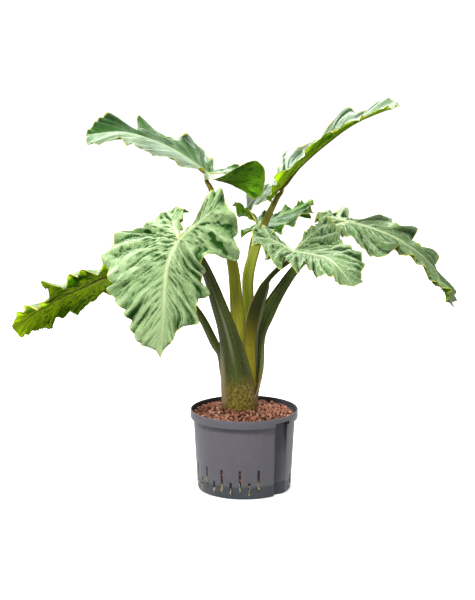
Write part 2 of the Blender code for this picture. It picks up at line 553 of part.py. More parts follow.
def blade_mesh(name, blade, its_material):
    """Both halves as one sheet, thickened, with the ribs standing below it."""
    points = []
    ribs = []
    triangles = []
    for half in (0, 1):
        grid = blade.sheet(half, STEPS_PER_VEIN, ACROSS_LEVELS)
        start = blade.rays(half, STEPS_PER_VEIN)[1]
        rows, columns = grid.shape[:2]
        first = sum(len(p) for p in points)
        points.append(grid.reshape(-1, 3))
        along = np.where(start[:, 0] > 0, start[:, 0], -start[:, 0] / -LOBE_RIB_END[0])
        depth = RIB_TIP_DEPTH + (RIB_DEPTH - RIB_TIP_DEPTH) * (1 - along)**0.7
        at_rib = np.zeros((rows, columns))
        at_rib[:, 0] = depth
        ribs.append(at_rib.reshape(-1))
        for i in range(rows - 1):
            for k in range(columns - 1):
                a = first + i * columns + k
                b, c, d = a + columns, a + columns + 1, a + 1
                corners = [(a, b, c), (a, c, d)]
                triangles += [t if half else t[::-1] for t in corners]
    points = np.concatenate(points)
    places = np.round(points * 1e6).astype(np.int64)
    _, index, where = np.unique(places, axis=0, return_index=True, return_inverse=True)
    triangles = where.reshape(-1)[np.array(triangles)]
    whole = [len(set(t)) == 3 for t in triangles.tolist()]
    triangles = triangles[whole]
    points = points[index]
    ribs = np.concatenate(ribs)[index]
    first, second, third = points[triangles].transpose(1, 0, 2)
    faces_normal = np.cross(second - first, third - first)
    normals = np.zeros_like(points)
    for corner in range(3):
        np.add.at(normals, triangles[:, corner], faces_normal)
    normals = unit(normals)
    upper = points + normals * BLADE_THICKNESS / 2
    lower = points - normals * (BLADE_THICKNESS / 2 + ribs)[:, None]
    count = len(points)
    faces = []
    edges = {}
    for t in triangles.tolist():
        faces.append(tuple(t))
        faces.append(tuple(count + k for k in t[::-1]))
        for a, b in zip(t, t[1:] + t[:1]):
            edges[(a, b)] = True
    for a, b in edges:
        if (b, a) not in edges:
            faces += [(b, a, count + a), (b, count + a, count + b)]
    return mesh_object(name, np.concatenate([upper, lower]), faces, its_material)


def stalk_rings(blade, out, turn, route, below):
    """Rings along a stalk's route, which ends this far below the foot of its blade's midrib."""
    normal = blade.normal[0]
    heading = stalk_heading(blade, turn, route)
    end_size = np.array(STALK_END)
    end = blade.curve[0] - normal * below
    before_end = [*(end - heading * STALK_APPROACH), *(end_size * [1.1, 1.1, 1])]
    stations = smooth([*route, before_end, [*end, *end_size]], STALK_STEPS)
    centres = stations[:, :3]
    tangent = unit(np.gradient(centres, axis=0))
    tangent[0] = (0, 0, 1)
    tangent[-1] = heading
    outward = square_to(np.tile([*out, 0.0], (len(centres), 1)), tangent)
    across = np.cross(tangent, outward)
    round_it = np.arange(STALK_SIDES) * 2 * np.pi / STALK_SIDES
    rings = []
    for centre, o, a, (wide, deep, hollow) in zip(centres, outward, across, stations[:, 3:]):
        x = wide * np.cos(round_it)
        y = deep * np.sin(round_it)
        y = np.where(y < 0, y * (1 - STALK_HOLLOW * hollow), y) - x**2 / (2 * SHEATH_WRAP)
        rings.append(centre + x[:, None] * a + y[:, None] * o)
    return np.array(rings)


def stalk_heading(blade, turn, route):
    towards = unit(blade.curve[0] - np.array(route[-1][:3]))
    return unit(towards + turn * blade.normal[0])


def least_gap(points, faces, other_points, other_faces):
    """The least distance between two surfaces, from the corners of either and the middles of its edges."""
    gap = np.inf
    for p, f, q, g in ((points, faces, other_points, other_faces), (other_points, other_faces, points, faces)):
        surface = BVHTree.FromPolygons([tuple(x) for x in q], g)
        edges = np.array([(a, b) for face in f for a, b in zip(face, face[1:] + face[:1]) if a < b])
        middles = (p[edges[:, 0]] + p[edges[:, 1]]) / 2
        gap = min(gap, *(surface.find_nearest(x)[3] for x in (*p, *middles)))
    return gap


def make_stalk(name, blade, blade_object, out, turn, route, its_material):
    """A stalk that is moved up along the blade's normal until its end is seated under the rib."""
    mesh = blade_object.data
    blade_points = np.array([v.co for v in mesh.vertices])
    blade_faces = [tuple(f.vertices) for f in mesh.polygons]
    hang = max(0, -blade.fold[0][1], -blade.fold[1][1])
    lean = np.sqrt(1 - (stalk_heading(blade, turn, route) @ blade.normal[0])**2)
    below = RIB_DEPTH + BLADE_THICKNESS / 2 + STALK_FIRST_CLEARANCE
    below += STALK_END[0] * (np.tan(hang) + lean)
    for _ in range(SEATING_ROUNDS):
        points, faces = loft(stalk_rings(blade, out, turn, route, below))
        below -= least_gap(points, faces, blade_points, blade_faces) - STALK_SEAT
    return lofted(name, stalk_rings(blade, out, turn, route, below), its_material)


def make_leaves():
    for key, leaf in LEAVES.items():
        blade = Blade(**leaf)
        green = material("leaf_green_" + key, (0.24, 0.42, 0.16), 0.45)
        olive = material("stalk_olive_" + key, (0.10, 0.12, 0.035), 0.5)
        blade_object = blade_mesh("blade_" + key, blade, green)
        make_stalk("petiole_" + key, blade, blade_object, its_material=olive, **STALKS[key])


for old in list(bpy.data.objects):
    bpy.data.objects.remove(old)
make_pot()
make_roots()
make_clay_granules()
make_stem_base()
make_leaves()
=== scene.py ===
"""A potted alocasia: seven ruffled leaves on bundled stalks, in a slotted pot of clay granules.

Metres, +Z up, the plant's front facing -Y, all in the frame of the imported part.
"""

import bmesh
import bpy
import numpy as np
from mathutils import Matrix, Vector


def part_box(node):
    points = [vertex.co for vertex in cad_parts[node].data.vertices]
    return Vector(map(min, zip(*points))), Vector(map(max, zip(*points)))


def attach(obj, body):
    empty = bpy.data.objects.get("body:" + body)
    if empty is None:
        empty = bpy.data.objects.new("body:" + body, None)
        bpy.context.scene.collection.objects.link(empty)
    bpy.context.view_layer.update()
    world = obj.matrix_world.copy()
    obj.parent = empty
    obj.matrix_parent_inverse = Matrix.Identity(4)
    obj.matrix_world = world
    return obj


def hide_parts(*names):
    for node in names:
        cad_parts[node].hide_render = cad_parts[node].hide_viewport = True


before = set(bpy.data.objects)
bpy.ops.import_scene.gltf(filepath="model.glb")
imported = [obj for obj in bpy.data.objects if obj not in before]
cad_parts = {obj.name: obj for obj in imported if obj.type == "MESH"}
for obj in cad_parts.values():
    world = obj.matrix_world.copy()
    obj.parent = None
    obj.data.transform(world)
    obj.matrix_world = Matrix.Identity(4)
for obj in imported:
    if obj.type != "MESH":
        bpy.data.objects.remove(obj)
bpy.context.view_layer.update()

# The camera stands 4.8 m in front of the pot, a little to its left, and looks down on it by 11.7
# degrees, through a long lens.
CAMERA_PLACE = (-0.0156, -4.8451, 1.4503)
CAMERA_DOWN = 11.7                # degrees
CAMERA_LENS = 129.0               # mm, on a 36 mm long side

camera = bpy.data.objects.new("camera", bpy.data.cameras.new("camera"))
bpy.context.scene.collection.objects.link(camera)
camera.location = CAMERA_PLACE
camera.rotation_euler = (np.radians(90 - CAMERA_DOWN), 0, 0)
camera.data.lens = CAMERA_LENS
camera.data.sensor_width = 36
bpy.context.scene.camera = camera
bpy.context.scene.view_settings.view_transform = "Standard"


def colour(red, green, blue):
    """A colour as a screen shows it, 0 to 255, in the linear values that a shader takes."""
    shown = np.array([red, green, blue]) / 255
    linear = np.where(shown <= 0.04045, shown / 12.92, ((shown + 0.055) / 1.055) ** 2.4)
    return (*linear, 1.0)


class Socket:
    """An output in a node tree. Sums and products of it add Math nodes."""

    def __init__(self, tree, output):
        self.tree, self.output = tree, output

    def math(self, operation, *others):
        return self.tree.node("ShaderNodeMath", {"operation": operation}, dict(enumerate([self, *others])))

    def __add__(self, other):
        return self.math("ADD", other)

    def __sub__(self, other):
        return self.math("SUBTRACT", other)

    def __mul__(self, other):
        return self.math("MULTIPLY", other)

    def __rsub__(self, other):
        return (self * -1.0) + other

    __radd__ = __add__
    __rmul__ = __mul__

    def rise(self, low, high):
        """0 below low, 1 above high, with a smooth step between; high may be the lower one."""
        return self.tree.node("ShaderNodeMapRange", {"interpolation_type": "SMOOTHSTEP"},
                              {0: self, 1: low, 2: high, 3: 0.0, 4: 1.0})


class Tree:
    """A node tree that is being built."""

    def __init__(self, tree):
        self.tree = tree

    def node(self, kind, settings=None, sockets=None, output=0):
        made = self.tree.nodes.new(kind)
        for name, value in (settings or {}).items():
            setattr(made, name, value)
        for name, value in (sockets or {}).items():
            if isinstance(value, Socket):
                self.tree.links.new(value.output, made.inputs[name])
            else:
                made.inputs[name].default_value = value
        return Socket(self, made.outputs[output])

    def vector(self, x, y, z):
        return self.node("ShaderNodeCombineXYZ", None, {0: x, 1: y, 2: z})

    def part(self, vector, axis):
        return self.node("ShaderNodeSeparateXYZ", None, {0: vector}, axis)


class Paint(Tree):
    """A material that is being built, with a Principled shader."""

    def __init__(self, name, **constants):
        self.material = bpy.data.materials.new(name)
        self.material.use_nodes = True
        super().__init__(self.material.node_tree)
        self.shader = self.tree.nodes["Principled BSDF"]
        for socket, value in constants.items():
            self.shader.inputs[socket.replace("_", " ")].default_value = value

    def place(self, scale=(1.0, 1.0, 1.0)):
        """Object coordinates, stretched."""
        here = self.node("ShaderNodeTexCoord", output="Object")
        return self.node("ShaderNodeVectorMath", {"operation": "MULTIPLY"}, {0: here, 1: scale})

    def attribute(self, name):
        return self.node("ShaderNodeAttribute", {"attribute_name": name}, output="Fac")

    def noise(self, where, scale, detail=3.0, roughness=0.55):
        return self.node("ShaderNodeTexNoise", None,
                         {"Vector": where, "Scale": scale, "Detail": detail, "Roughness": roughness})

    def mix(self, factor, first, second):
        """From the first to the second, each a socket or a colour's red, green and blue, 0 to 255."""
        first, second = (colour(*shade) if isinstance(shade, tuple) else shade for shade in (first, second))
        return self.node("ShaderNodeMix", {"data_type": "RGBA"}, {0: factor, 6: first, 7: second}, 2)

    def bump(self, height, depth):
        """A Bump node: the height, 0 to 1, stands for this depth in metres."""
        return self.node("ShaderNodeBump", None, {"Height": height, "Distance": depth, "Strength": 1.0})

    def finish(self, shade=None, roughness=None, normal=None):
        for name, value in (("Base Color", shade), ("Roughness", roughness), ("Normal", normal)):
            if value is not None:
                self.tree.links.new(value.output, self.shader.inputs[name])
        return self.material


# The light is that of a photo studio: a soft lamp above in front on the left, a larger one above behind
# the plant on the left, which shows as gloss on the leaves, and dim walls with a white one behind the
# plant. The white floor is left out of the light that bounces between things, which keeps them dark below.
FLOOR_RADIUS = 30.0
FLOOR_LIGHT = 0.30                # that comes from below in place of the floor's
WALL_LIGHT = 0.36
CEILING_LIGHT = 0.50
BACK_LIGHT = 0.90                 # of the wall behind the plant, more than of the others
BACK_SPREAD = (0.5, 0.95)         # how nearly backwards a direction points where that starts and is full
CEILING_SPREAD = (0.25, 0.95)     # the same for the ceiling, upwards
FLOOR_SPREAD = (0.0, -0.05)       # and for the floor
KEY_LAMP = dict(place=(-0.6, -1.7, 2.7), aim=(0.0, 0.0, 0.5), size=0.9, power=90)
GLOSS_LAMP = dict(place=(-0.9, 1.7, 2.7), aim=(0.0, 0.0, 0.6), size=2.4, power=150)


def soft_lamp(name, place, aim, size, power):
    lamp = bpy.data.lights.new(name, "AREA")
    lamp.shape = "DISK"
    lamp.size = size
    lamp.energy = power
    made = bpy.data.objects.new(name, lamp)
    made.location = place
    made.rotation_euler = (Vector(aim) - Vector(place)).to_track_quat("-Z", "Y").to_euler()
    bpy.context.scene.collection.objects.link(made)


def light_room():
    room = bpy.data.worlds.new("white_room")
    room.use_nodes = True
    tree = Tree(room.node_tree)
    way = tree.node("ShaderNodeTexCoord", output="Generated")
    backwards, upwards = tree.part(way, 1), tree.part(way, 2)
    wall = WALL_LIGHT + BACK_LIGHT * backwards.rise(*BACK_SPREAD)
    ceiling = upwards.rise(*CEILING_SPREAD)
    above = wall * (1.0 - ceiling) + CEILING_LIGHT * ceiling
    below = upwards.rise(*FLOOR_SPREAD)
    strength = above * (1.0 - below) + FLOOR_LIGHT * below
    background = room.node_tree.nodes["Background"]
    background.inputs["Color"].default_value = (1.0, 1.0, 1.0, 1.0)
    room.node_tree.links.new(strength.output, background.inputs["Strength"])
    bpy.context.scene.world = room


light_room()
soft_lamp("key", **KEY_LAMP)
soft_lamp("gloss", **GLOSS_LAMP)
floor_paint = Paint("floor_white", Roughness=0.9, Specular_IOR_Level=0.2, Emission_Strength=0.6,
                    Emission_Color=(1.0, 1.0, 1.0, 1.0))
floor_tone = floor_paint.mix(floor_paint.noise(floor_paint.place(), 3.0), (244, 244, 244), (250, 250, 250))
bpy.ops.mesh.primitive_circle_add(vertices=96, radius=FLOOR_RADIUS, fill_type="NGON")
floor = bpy.context.object
floor.name = "floor"
floor.visible_diffuse = False
floor.data.materials.append(floor_paint.finish(floor_tone))


# The pot is one moulding of matt grey plastic, a tapering cup with a deep rim band. Drain slits run
# all round its foot in two rings, and a niche in its front right side takes a water gauge. Its foot is
# darker. Shade inside the rim, in the niche and under the rim band is painted into its colour.
POT_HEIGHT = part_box("pot")[1].z
RIM_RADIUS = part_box("pot")[1].y
RIM_HEIGHT = 0.020
RIM_ROUND = 0.0013
WALL_TOP_RADIUS = 0.118
WALL_BOTTOM_RADIUS = 0.109
WALL = 0.0026
CORNER_RADIUS = 0.008
POT_FLOOR = 0.0035
POT_SEGMENTS = 144
SHARP_FROM = 32                   # degrees between faces, where the pot's edges show as sharp
NICHE_PLAN = [(0.0760, -0.1240), (0.0643, -0.0660), (0.0909, -0.0545), (0.1290, -0.1000)]
NICHE_ROUND = 0.006
NICHE_TOP = POT_HEIGHT - 0.011
SLIT_WIDTH = 0.005
SLIT_FLARE = 0.0012
PEG_INWARDS = 0.009               # how far a slit's cutter reaches to either side of the wall's face
PEG_OUTWARDS = 0.004
SLIT_STEP = 22.5
SLITS_PER_RING = 14
HIGH_SLITS = dict(first=17.2, bottom=0.019, top=0.070)
LOW_SLITS = dict(first=5.95, bottom=0.0105, top=0.041)
DARK_FOOT_TO = 0.031
PALE_LINE_HEIGHT = 0.006         # of the pale line above the darker foot
NICHE_SHADE = (0.109, 0.098)      # how far from the middle the niche's painted shade starts, and is full
INSIDE_SHADE_FROM = (0.172, 0.174)      # heights between which painted shade starts on the rim's inside
NICHE_BLACK_SHADE = (0.164, 0.176)       # how high that painted shade starts to be nearly black, and is so in full


def mesh_object(name, points, faces, paints=(), smooth=True):
    """An object at the origin, its doubles merged and its faces pointing outwards."""
    mesh = bpy.data.meshes.new(name)
    mesh.from_pydata([tuple(p) for p in points], [], [tuple(f) for f in faces])
    build = bmesh.new()
    build.from_mesh(mesh)
    bmesh.ops.remove_doubles(build, verts=build.verts, dist=1e-6)
    bmesh.ops.recalc_face_normals(build, faces=build.faces)
    build.to_mesh(mesh)
    build.free()
    mesh.shade_smooth() if smooth else mesh.shade_flat()
    for paint in paints:
        mesh.materials.append(paint)
    made = bpy.data.objects.new(name, mesh)
    bpy.context.scene.collection.objects.link(made)
    return made


def bands(count, sides, first=0):
    """Quads between one ring of points and the next, for so many rings from the point numbered first."""
    faces = []
    for ring in range(count - 1):
        at = first + ring * sides
        for k in range(sides):
            n = (k + 1) % sides
            faces.append((at + k, at + n, at + sides + n, at + sides + k))
    return faces


def lofted(name, rings, paints=()):
    rings = np.asarray(rings)
    count, sides = rings.shape[:2]
    faces = bands(count, sides)
    faces.append(range(sides)[::-1])
    faces.append([(count - 1) * sides + k for k in range(sides)])
    return mesh_object(name, rings.reshape(-1, 3), faces, paints)


def ring_at(radius, z, centre=(0.0, 0.0), count=POT_SEGMENTS):
    turn = np.arange(count) * 2 * np.pi / count
    x = centre[0] + radius * np.sin(turn)
    y = centre[1] - radius * np.cos(turn)
    return np.stack([x, y, np.broadcast_to(z, turn.shape)], -1)


def turned(name, profile, paints=()):
    return lofted(name, [ring_at(r, z) for r, z in profile], paints)


def cut_away(target, cutter):
    step = target.modifiers.new("Difference", "BOOLEAN")
    step.operation = "DIFFERENCE"
    step.object = cutter
    made_plain(target)
    bpy.data.objects.remove(cutter)


def made_plain(thing):
    """Puts the evaluated mesh in place of the mesh and its modifiers."""
    evaluated = thing.evaluated_get(bpy.context.evaluated_depsgraph_get())
    result = bpy.data.meshes.new_from_object(evaluated)
    thing.modifiers.clear()
    thing.data = result
    return thing


def grown(plan, by):
    """The convex plan with every side moved outwards."""
    plan = np.asarray(plan, float)
    middle = plan.mean(0)
    lines = []
    for p, q in zip(plan, np.roll(plan, -1, 0)):
        normal = np.array([q[1] - p[1], p[0] - q[0]]) / np.linalg.norm(q - p)
        normal *= np.sign(normal @ (p - middle))
        lines.append((normal, normal @ p + by))
    corners = []
    for (m, c), (n, d) in zip([lines[-1], *lines[:-1]], lines):
        corners.append(np.linalg.solve([m, n], [c, d]))
    return np.array(corners)


def rounded(plan, radius, steps=6):
    """The plan with each corner as a curve that starts and ends this far from it."""
    points = []
    for before, corner, after in zip(np.roll(plan, 1, 0), plan, np.roll(plan, -1, 0)):
        start = corner + (before - corner) * radius / np.linalg.norm(before - corner)
        end = corner + (after - corner) * radius / np.linalg.norm(after - corner)
        for t in np.linspace(0, 1, steps + 1):
            points.append(start * (1 - t)**2 + corner * 2 * t * (1 - t) + end * t**2)
    return points


def niche(grow, top, bottom=-0.01):
    plan = rounded(grown(NICHE_PLAN, grow), NICHE_ROUND + grow)
    return lofted("niche", [[(x, y, z) for x, y in plan] for z in (bottom, top)])


def wall_radius(z):
    share = (z - CORNER_RADIUS) / (POT_HEIGHT - RIM_HEIGHT - CORNER_RADIUS)
    return WALL_BOTTOM_RADIUS + share * (WALL_TOP_RADIUS - WALL_BOTTOM_RADIUS)


def each_slit():
    """Each slit's measures, with the way out of the pot there and the way across the slit."""
    for slit in (HIGH_SLITS, LOW_SLITS):
        for k in range(SLITS_PER_RING):
            angle = np.radians(slit["first"] - SLIT_STEP * k)
            outward = np.array([np.sin(angle), -np.cos(angle), 0])
            yield slit, outward, np.array([np.cos(angle), np.sin(angle), 0])


def slit_cutter():
    """A peg with round ends for each slit, wider at the outside, all in one object."""
    points = []
    faces = []
    half_turn = np.linspace(0, np.pi, 7)
    sides = 2 * len(half_turn)
    up = np.array([0, 0, 1.0])
    for slit, outward, across in each_slit():
        wall = wall_radius((slit["bottom"] + slit["top"]) / 2)
        first = len(points)
        stations = ((wall - PEG_INWARDS, 0), (wall - SLIT_FLARE * 0.8, 0),
                    (wall + PEG_OUTWARDS, SLIT_FLARE * 2))
        for r, flare in stations:
            radius = SLIT_WIDTH / 2 + flare / 2
            for end, sign in ((slit["top"] - SLIT_WIDTH / 2, 1), (slit["bottom"] + SLIT_WIDTH / 2, -1)):
                for a in half_turn:
                    way = across * np.cos(a) * sign + up * np.sin(a) * sign
                    points.append(outward * r + up * end + way * radius)
        faces += bands(len(stations), sides, first)
        faces.append([first + k for k in range(sides)])
        faces.append([first + 2 * sides + k for k in range(sides)][::-1])
    return mesh_object("slits", points, faces, smooth=False)


def inner_profile(inset):
    rim_step = POT_HEIGHT - RIM_HEIGHT + 0.0015
    corner = (wall_radius(CORNER_RADIUS) - WALL, CORNER_RADIUS + 0.002)
    foot = (corner[0] - 0.006, POT_FLOOR)
    below_step = (wall_radius(rim_step) - WALL, rim_step)
    above_step = (RIM_RADIUS - WALL, rim_step + 0.003)
    mouth = (RIM_RADIUS - WALL, POT_HEIGHT + 0.005)
    return [(r - inset, z + inset) for r, z in (foot, corner, below_step, above_step, mouth)]


def pot_paint():
    paint = Paint("grey_plastic", Specular_IOR_Level=0.35)
    here = paint.place()
    height = paint.part(here, 2)
    cloud = paint.noise(here, 14.0, 4.0)
    edge = height + (paint.noise(paint.place((1, 1, 0.4)), 40.0, 5.0) - 0.5) * 0.008
    above_foot = paint.mix(cloud, (100, 98, 104), (112, 110, 117))
    dust = paint.noise(paint.place((1, 1, 0.5)), 60.0, 4.0).rise(0.50, 0.72)
    above_foot = paint.mix(dust * 0.2, above_foot, (126, 122, 128))
    out = paint.node("ShaderNodeVectorMath", {"operation": "LENGTH"}, {0: paint.place((1, 1, 0))}, "Value")
    # Painted shade: the rim's inside is darker.
    shaded_inside = out.rise(RIM_RADIUS - 0.0007, RIM_RADIUS - 0.0016) * height.rise(*INSIDE_SHADE_FROM)
    above_foot = paint.mix(shaded_inside, above_foot, (66, 72, 78))
    # Painted shade in the niche: darker deeper in, and nearly black under its top.
    niche_shade_mask = out.rise(*NICHE_SHADE)
    above_foot = paint.mix(niche_shade_mask * 0.55, above_foot, (52, 62, 66))
    above_foot = paint.mix(niche_shade_mask * height.rise(*NICHE_BLACK_SHADE) * 0.95, above_foot, (10, 14, 16))
    # A painted shadow: a dark line just under the rim band.
    rim_bottom = POT_HEIGHT - RIM_HEIGHT
    rim_shadow = height.rise(rim_bottom - 0.005, rim_bottom - 0.0015)
    rim_shadow = rim_shadow * height.rise(rim_bottom + 0.002, rim_bottom + 0.001)
    above_foot = paint.mix(rim_shadow * 0.55, above_foot, (48, 54, 54))
    # Below a wavering line the foot is darker, with a paler line just above it.
    darker_foot = paint.mix(cloud, (62, 68, 74), (76, 82, 88))
    pale_line = edge.rise(DARK_FOOT_TO - 0.003, DARK_FOOT_TO) * edge.rise(DARK_FOOT_TO + PALE_LINE_HEIGHT, DARK_FOOT_TO)
    shade = paint.mix(edge.rise(DARK_FOOT_TO, DARK_FOOT_TO + 0.0035), darker_foot, above_foot)
    shade = paint.mix(pale_line * 0.3, shade, (128, 128, 130))
    rough = 0.48 + paint.noise(here, 90.0) * 0.18
    grain = paint.noise(here, 1400.0, 2.0)
    return paint.finish(shade, rough, paint.bump(grain, 0.00008))


def make_pot():
    rim_bottom = POT_HEIGHT - RIM_HEIGHT
    wall_top = wall_radius(rim_bottom)
    flat_radius = WALL_BOTTOM_RADIUS - CORNER_RADIUS
    quarter = np.linspace(0, np.pi / 2, 7)
    profile = [(flat_radius - 0.004, 0.0)]
    profile += [(flat_radius + CORNER_RADIUS * np.sin(a), CORNER_RADIUS * (1 - np.cos(a))) for a in quarter]
    profile += [(wall_top, rim_bottom - 0.0006), (wall_top + 0.0005, rim_bottom)]
    lower, upper = rim_bottom + 0.0005 + RIM_ROUND, POT_HEIGHT - RIM_ROUND
    for a in quarter[:6]:
        profile.append((RIM_RADIUS - RIM_ROUND * (1 - np.sin(a)), lower - RIM_ROUND * np.cos(a)))
    profile += [(RIM_RADIUS - RIM_ROUND * (1 - np.cos(a)), upper + RIM_ROUND * np.sin(a)) for a in quarter]
    pot = turned("pot_shell", profile, [pot_paint()])
    hollow = turned("hollow", inner_profile(0.0))
    cut_away(hollow, niche(WALL, NICHE_TOP + WALL))
    cut_away(pot, hollow)
    cut_away(pot, niche(0.0, NICHE_TOP))
    cut_away(pot, slit_cutter())
    pot.data.shade_smooth()
    pot.data.set_sharp_from_angle(angle=np.radians(SHARP_FROM))
    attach(pot, "root")
    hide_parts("pot")


make_pot()


# Roots have filled the lower part of the pot and hold the wet clay there in one mat. Pale young ones
# grow out through the drain slits and hang over their lower ends.
ROOT_MAT_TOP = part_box("roots")[1].z
CLEAR = 0.0004
ROOT_RADIUS = 0.00065
ROOT_SIDES = 8
STRANDS_PER_SLIT = 4
STRAND_POINTS = 14
STRAND_RISE = 0.022               # from the lowest to the highest start of a strand in its slit
STRAND_START = 0.004              # how far over its slit's lower end the lowest strand starts
STRAND_FALL = (0.006, 0.018)
STRAND_OVERHANG = 0.004           # how far the first strand of a slit hangs below it
STRAND_PROUD = (-0.0012, 0.0024)  # of the wall's outer face
FIRST_STRAND_PROUD = 0.0018
STRAND_WIGGLE = 0.0015
STRAND_ASIDE = 0.0009
STRAND_SIZES = (0.5, 1.1)
STRAND_LOWEST = 0.002
STRAND_ROOTED = 0.006             # how far inside the wall's outer face a strand starts
WET_CLAY_SCALE = 170.0            # lumps per metre


class Growth(Tree):
    """A Geometry Nodes tree that is being built, with named number inputs, run on one object."""

    def __init__(self, name, inputs):
        super().__init__(bpy.data.node_groups.new(name, "GeometryNodeTree"))
        face = self.tree.interface
        face.new_socket("Geometry", in_out="INPUT", socket_type="NodeSocketGeometry")
        face.new_socket("Geometry", in_out="OUTPUT", socket_type="NodeSocketGeometry")
        self.values = inputs
        self.identifiers = {}
        for label, value in inputs.items():
            kind = "NodeSocketInt" if isinstance(value, int) else "NodeSocketFloat"
            self.identifiers[label] = face.new_socket(label, in_out="INPUT", socket_type=kind).identifier
        self.start = self.tree.nodes.new("NodeGroupInput")
        self.end = self.tree.nodes.new("NodeGroupOutput")

    def input(self, label):
        return Socket(self, self.start.outputs[label])

    def random(self, low, high, seed):
        settings = {2: low, 3: high, "Seed": seed}
        return self.node("FunctionNodeRandomValue", {"data_type": "FLOAT"}, settings, 1)

    def grow(self, thing, shape, paint):
        """Realizes and paints the shape, runs the tree on the thing and leaves it a plain mesh."""
        whole = self.node("GeometryNodeRealizeInstances", None, {"Geometry": shape})
        painted = self.node("GeometryNodeSetMaterial", None, {"Geometry": whole, "Material": paint})
        self.tree.links.new(painted.output, self.end.inputs["Geometry"])
        step = thing.modifiers.new(self.tree.name, "NODES")
        step.node_group = self.tree
        for label, identifier in self.identifiers.items():
            step[identifier] = self.values[label]
        return made_plain(thing)


def root_paint():
    paint = Paint("young_root", Specular_IOR_Level=0.5)
    here = paint.place()
    tone = paint.mix(paint.noise(here, 260.0), (240, 234, 196), (206, 182, 120))
    old = paint.noise(here, 80.0).rise(0.55, 0.7)
    return paint.finish(paint.mix(old * 0.6, tone, (128, 96, 58)), 0.45 + old * 0.3)


def wet_clay_paint():
    """Clay seen through the slits, with painted shade, near black, in the gaps between its lumps."""
    paint = Paint("wet_clay")
    here = paint.place()
    lumps = {"Vector": here, "Scale": WET_CLAY_SCALE, "Randomness": 1.0}
    cells = paint.node("ShaderNodeTexVoronoi", None, lumps)
    shaded_gaps = paint.node("ShaderNodeTexVoronoi", {"feature": "DISTANCE_TO_EDGE"}, lumps)
    tone = paint.mix(paint.noise(here, 150.0).rise(0.4, 0.6), (176, 96, 66), (84, 48, 36))
    shade = paint.mix(shaded_gaps.rise(0.14, 0.30), (8, 7, 7), tone)
    return paint.finish(shade, 0.55 + cells * 0.1, paint.bump(shaded_gaps.rise(0.0, 0.3), 0.002))


def slit_strands():
    """Points along each young root: out through its slit, and down over its lower end."""
    rng = np.random.default_rng(5)
    strands = []
    for slit, outward, across in each_slit():
        for k in range(STRANDS_PER_SLIT):
            t = np.linspace(0, 1, STRAND_POINTS)
            top = slit["bottom"] + STRAND_START + STRAND_RISE * rng.uniform(0, 1)**1.5
            fall = rng.uniform(*STRAND_FALL)
            lowest = slit["bottom"] + 0.0006 - STRAND_OVERHANG * (k == 0)
            z = np.maximum(top - fall * t**1.3, lowest)
            z = np.maximum(z, STRAND_LOWEST)
            proud = rng.uniform(*STRAND_PROUD) if k else FIRST_STRAND_PROUD
            r = wall_radius(z) - STRAND_ROOTED + (STRAND_ROOTED + proud) * np.clip(2.4 * t, 0, 1) ** 0.7
            wiggle = STRAND_WIGGLE * np.sin(rng.uniform(4, 11) * t + rng.uniform(0, 6.3))
            side = rng.uniform(-STRAND_ASIDE, STRAND_ASIDE) + wiggle
            size = rng.uniform(*STRAND_SIZES) * (1 - 0.75 * t**3)
            strands.append((outward * r[:, None] + across * side[:, None] + z[:, None] * [0, 0, 1], size))
    return strands


def make_roots():
    points = []
    edges = []
    sizes = []
    for strand, size in slit_strands():
        edges += [(len(points) + k, len(points) + k + 1) for k in range(len(strand) - 1)]
        points += list(strand)
        sizes += list(size)
    tips = mesh_object("root_tips", [], [])
    tips.data.from_pydata([tuple(p) for p in points], edges, [])
    tips.data.attributes.new("size", "FLOAT", "POINT").data.foreach_set("value", sizes)
    growth = Growth("root tips", {"Radius": ROOT_RADIUS, "Sides": ROOT_SIDES})
    line = growth.node("GeometryNodeMeshToCurve", None, {"Mesh": growth.input("Geometry")})
    outline = growth.node("GeometryNodeCurvePrimitiveCircle", None,
                          {"Resolution": growth.input("Sides"), "Radius": growth.input("Radius")})
    size = growth.node("GeometryNodeInputNamedAttribute", {"data_type": "FLOAT"}, {"Name": "size"})
    tube = growth.node("GeometryNodeCurveToMesh", None,
                       {"Curve": line, "Profile Curve": outline, "Scale": size, "Fill Caps": True})
    growth.grow(tips, tube, root_paint())
    tips.data.shade_smooth()
    foot, corner = inner_profile(CLEAR)[:2]
    top = (wall_radius(ROOT_MAT_TOP) - WALL - CLEAR, ROOT_MAT_TOP)
    mat = turned("root_mat", [foot, corner, top], [wet_clay_paint()])
    cut_away(mat, niche(WALL + CLEAR, NICHE_TOP))
    for piece in (tips, mat):
        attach(piece, "root")
        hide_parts("roots")


make_roots()


# The filling is loose fired clay, irregular pellets 5 to 9 mm across, poured to a centimetre below
# the rim and heaped a little against the stem. One node holds them: a bed painted near black as the
# shade between them, and pellets over it.
GRANULE_EDGE_LEVEL = 0.179
GRANULE_STEM_LEVEL = 0.194
STEM_CENTRE = (-0.0107, 0.005)
STEM_RADIUS = 0.0405
STEM_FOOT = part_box("stem_base")[0].z
BED_BELOW = 0.0035
PELLET_RADIUS = 0.0036
PELLET_SPACING = 0.0062
PELLET_UNEVENNESS = 0.0025
PELLET_DENTS = 0.0034
PELLETS_AT_MOST = 90000.0         # per square metre
PELLET_SIZES = (0.75, 1.25)
PELLET_WIDTHS = (0.8, 1.25)
PELLET_HEIGHTS = (0.7, 1.0)


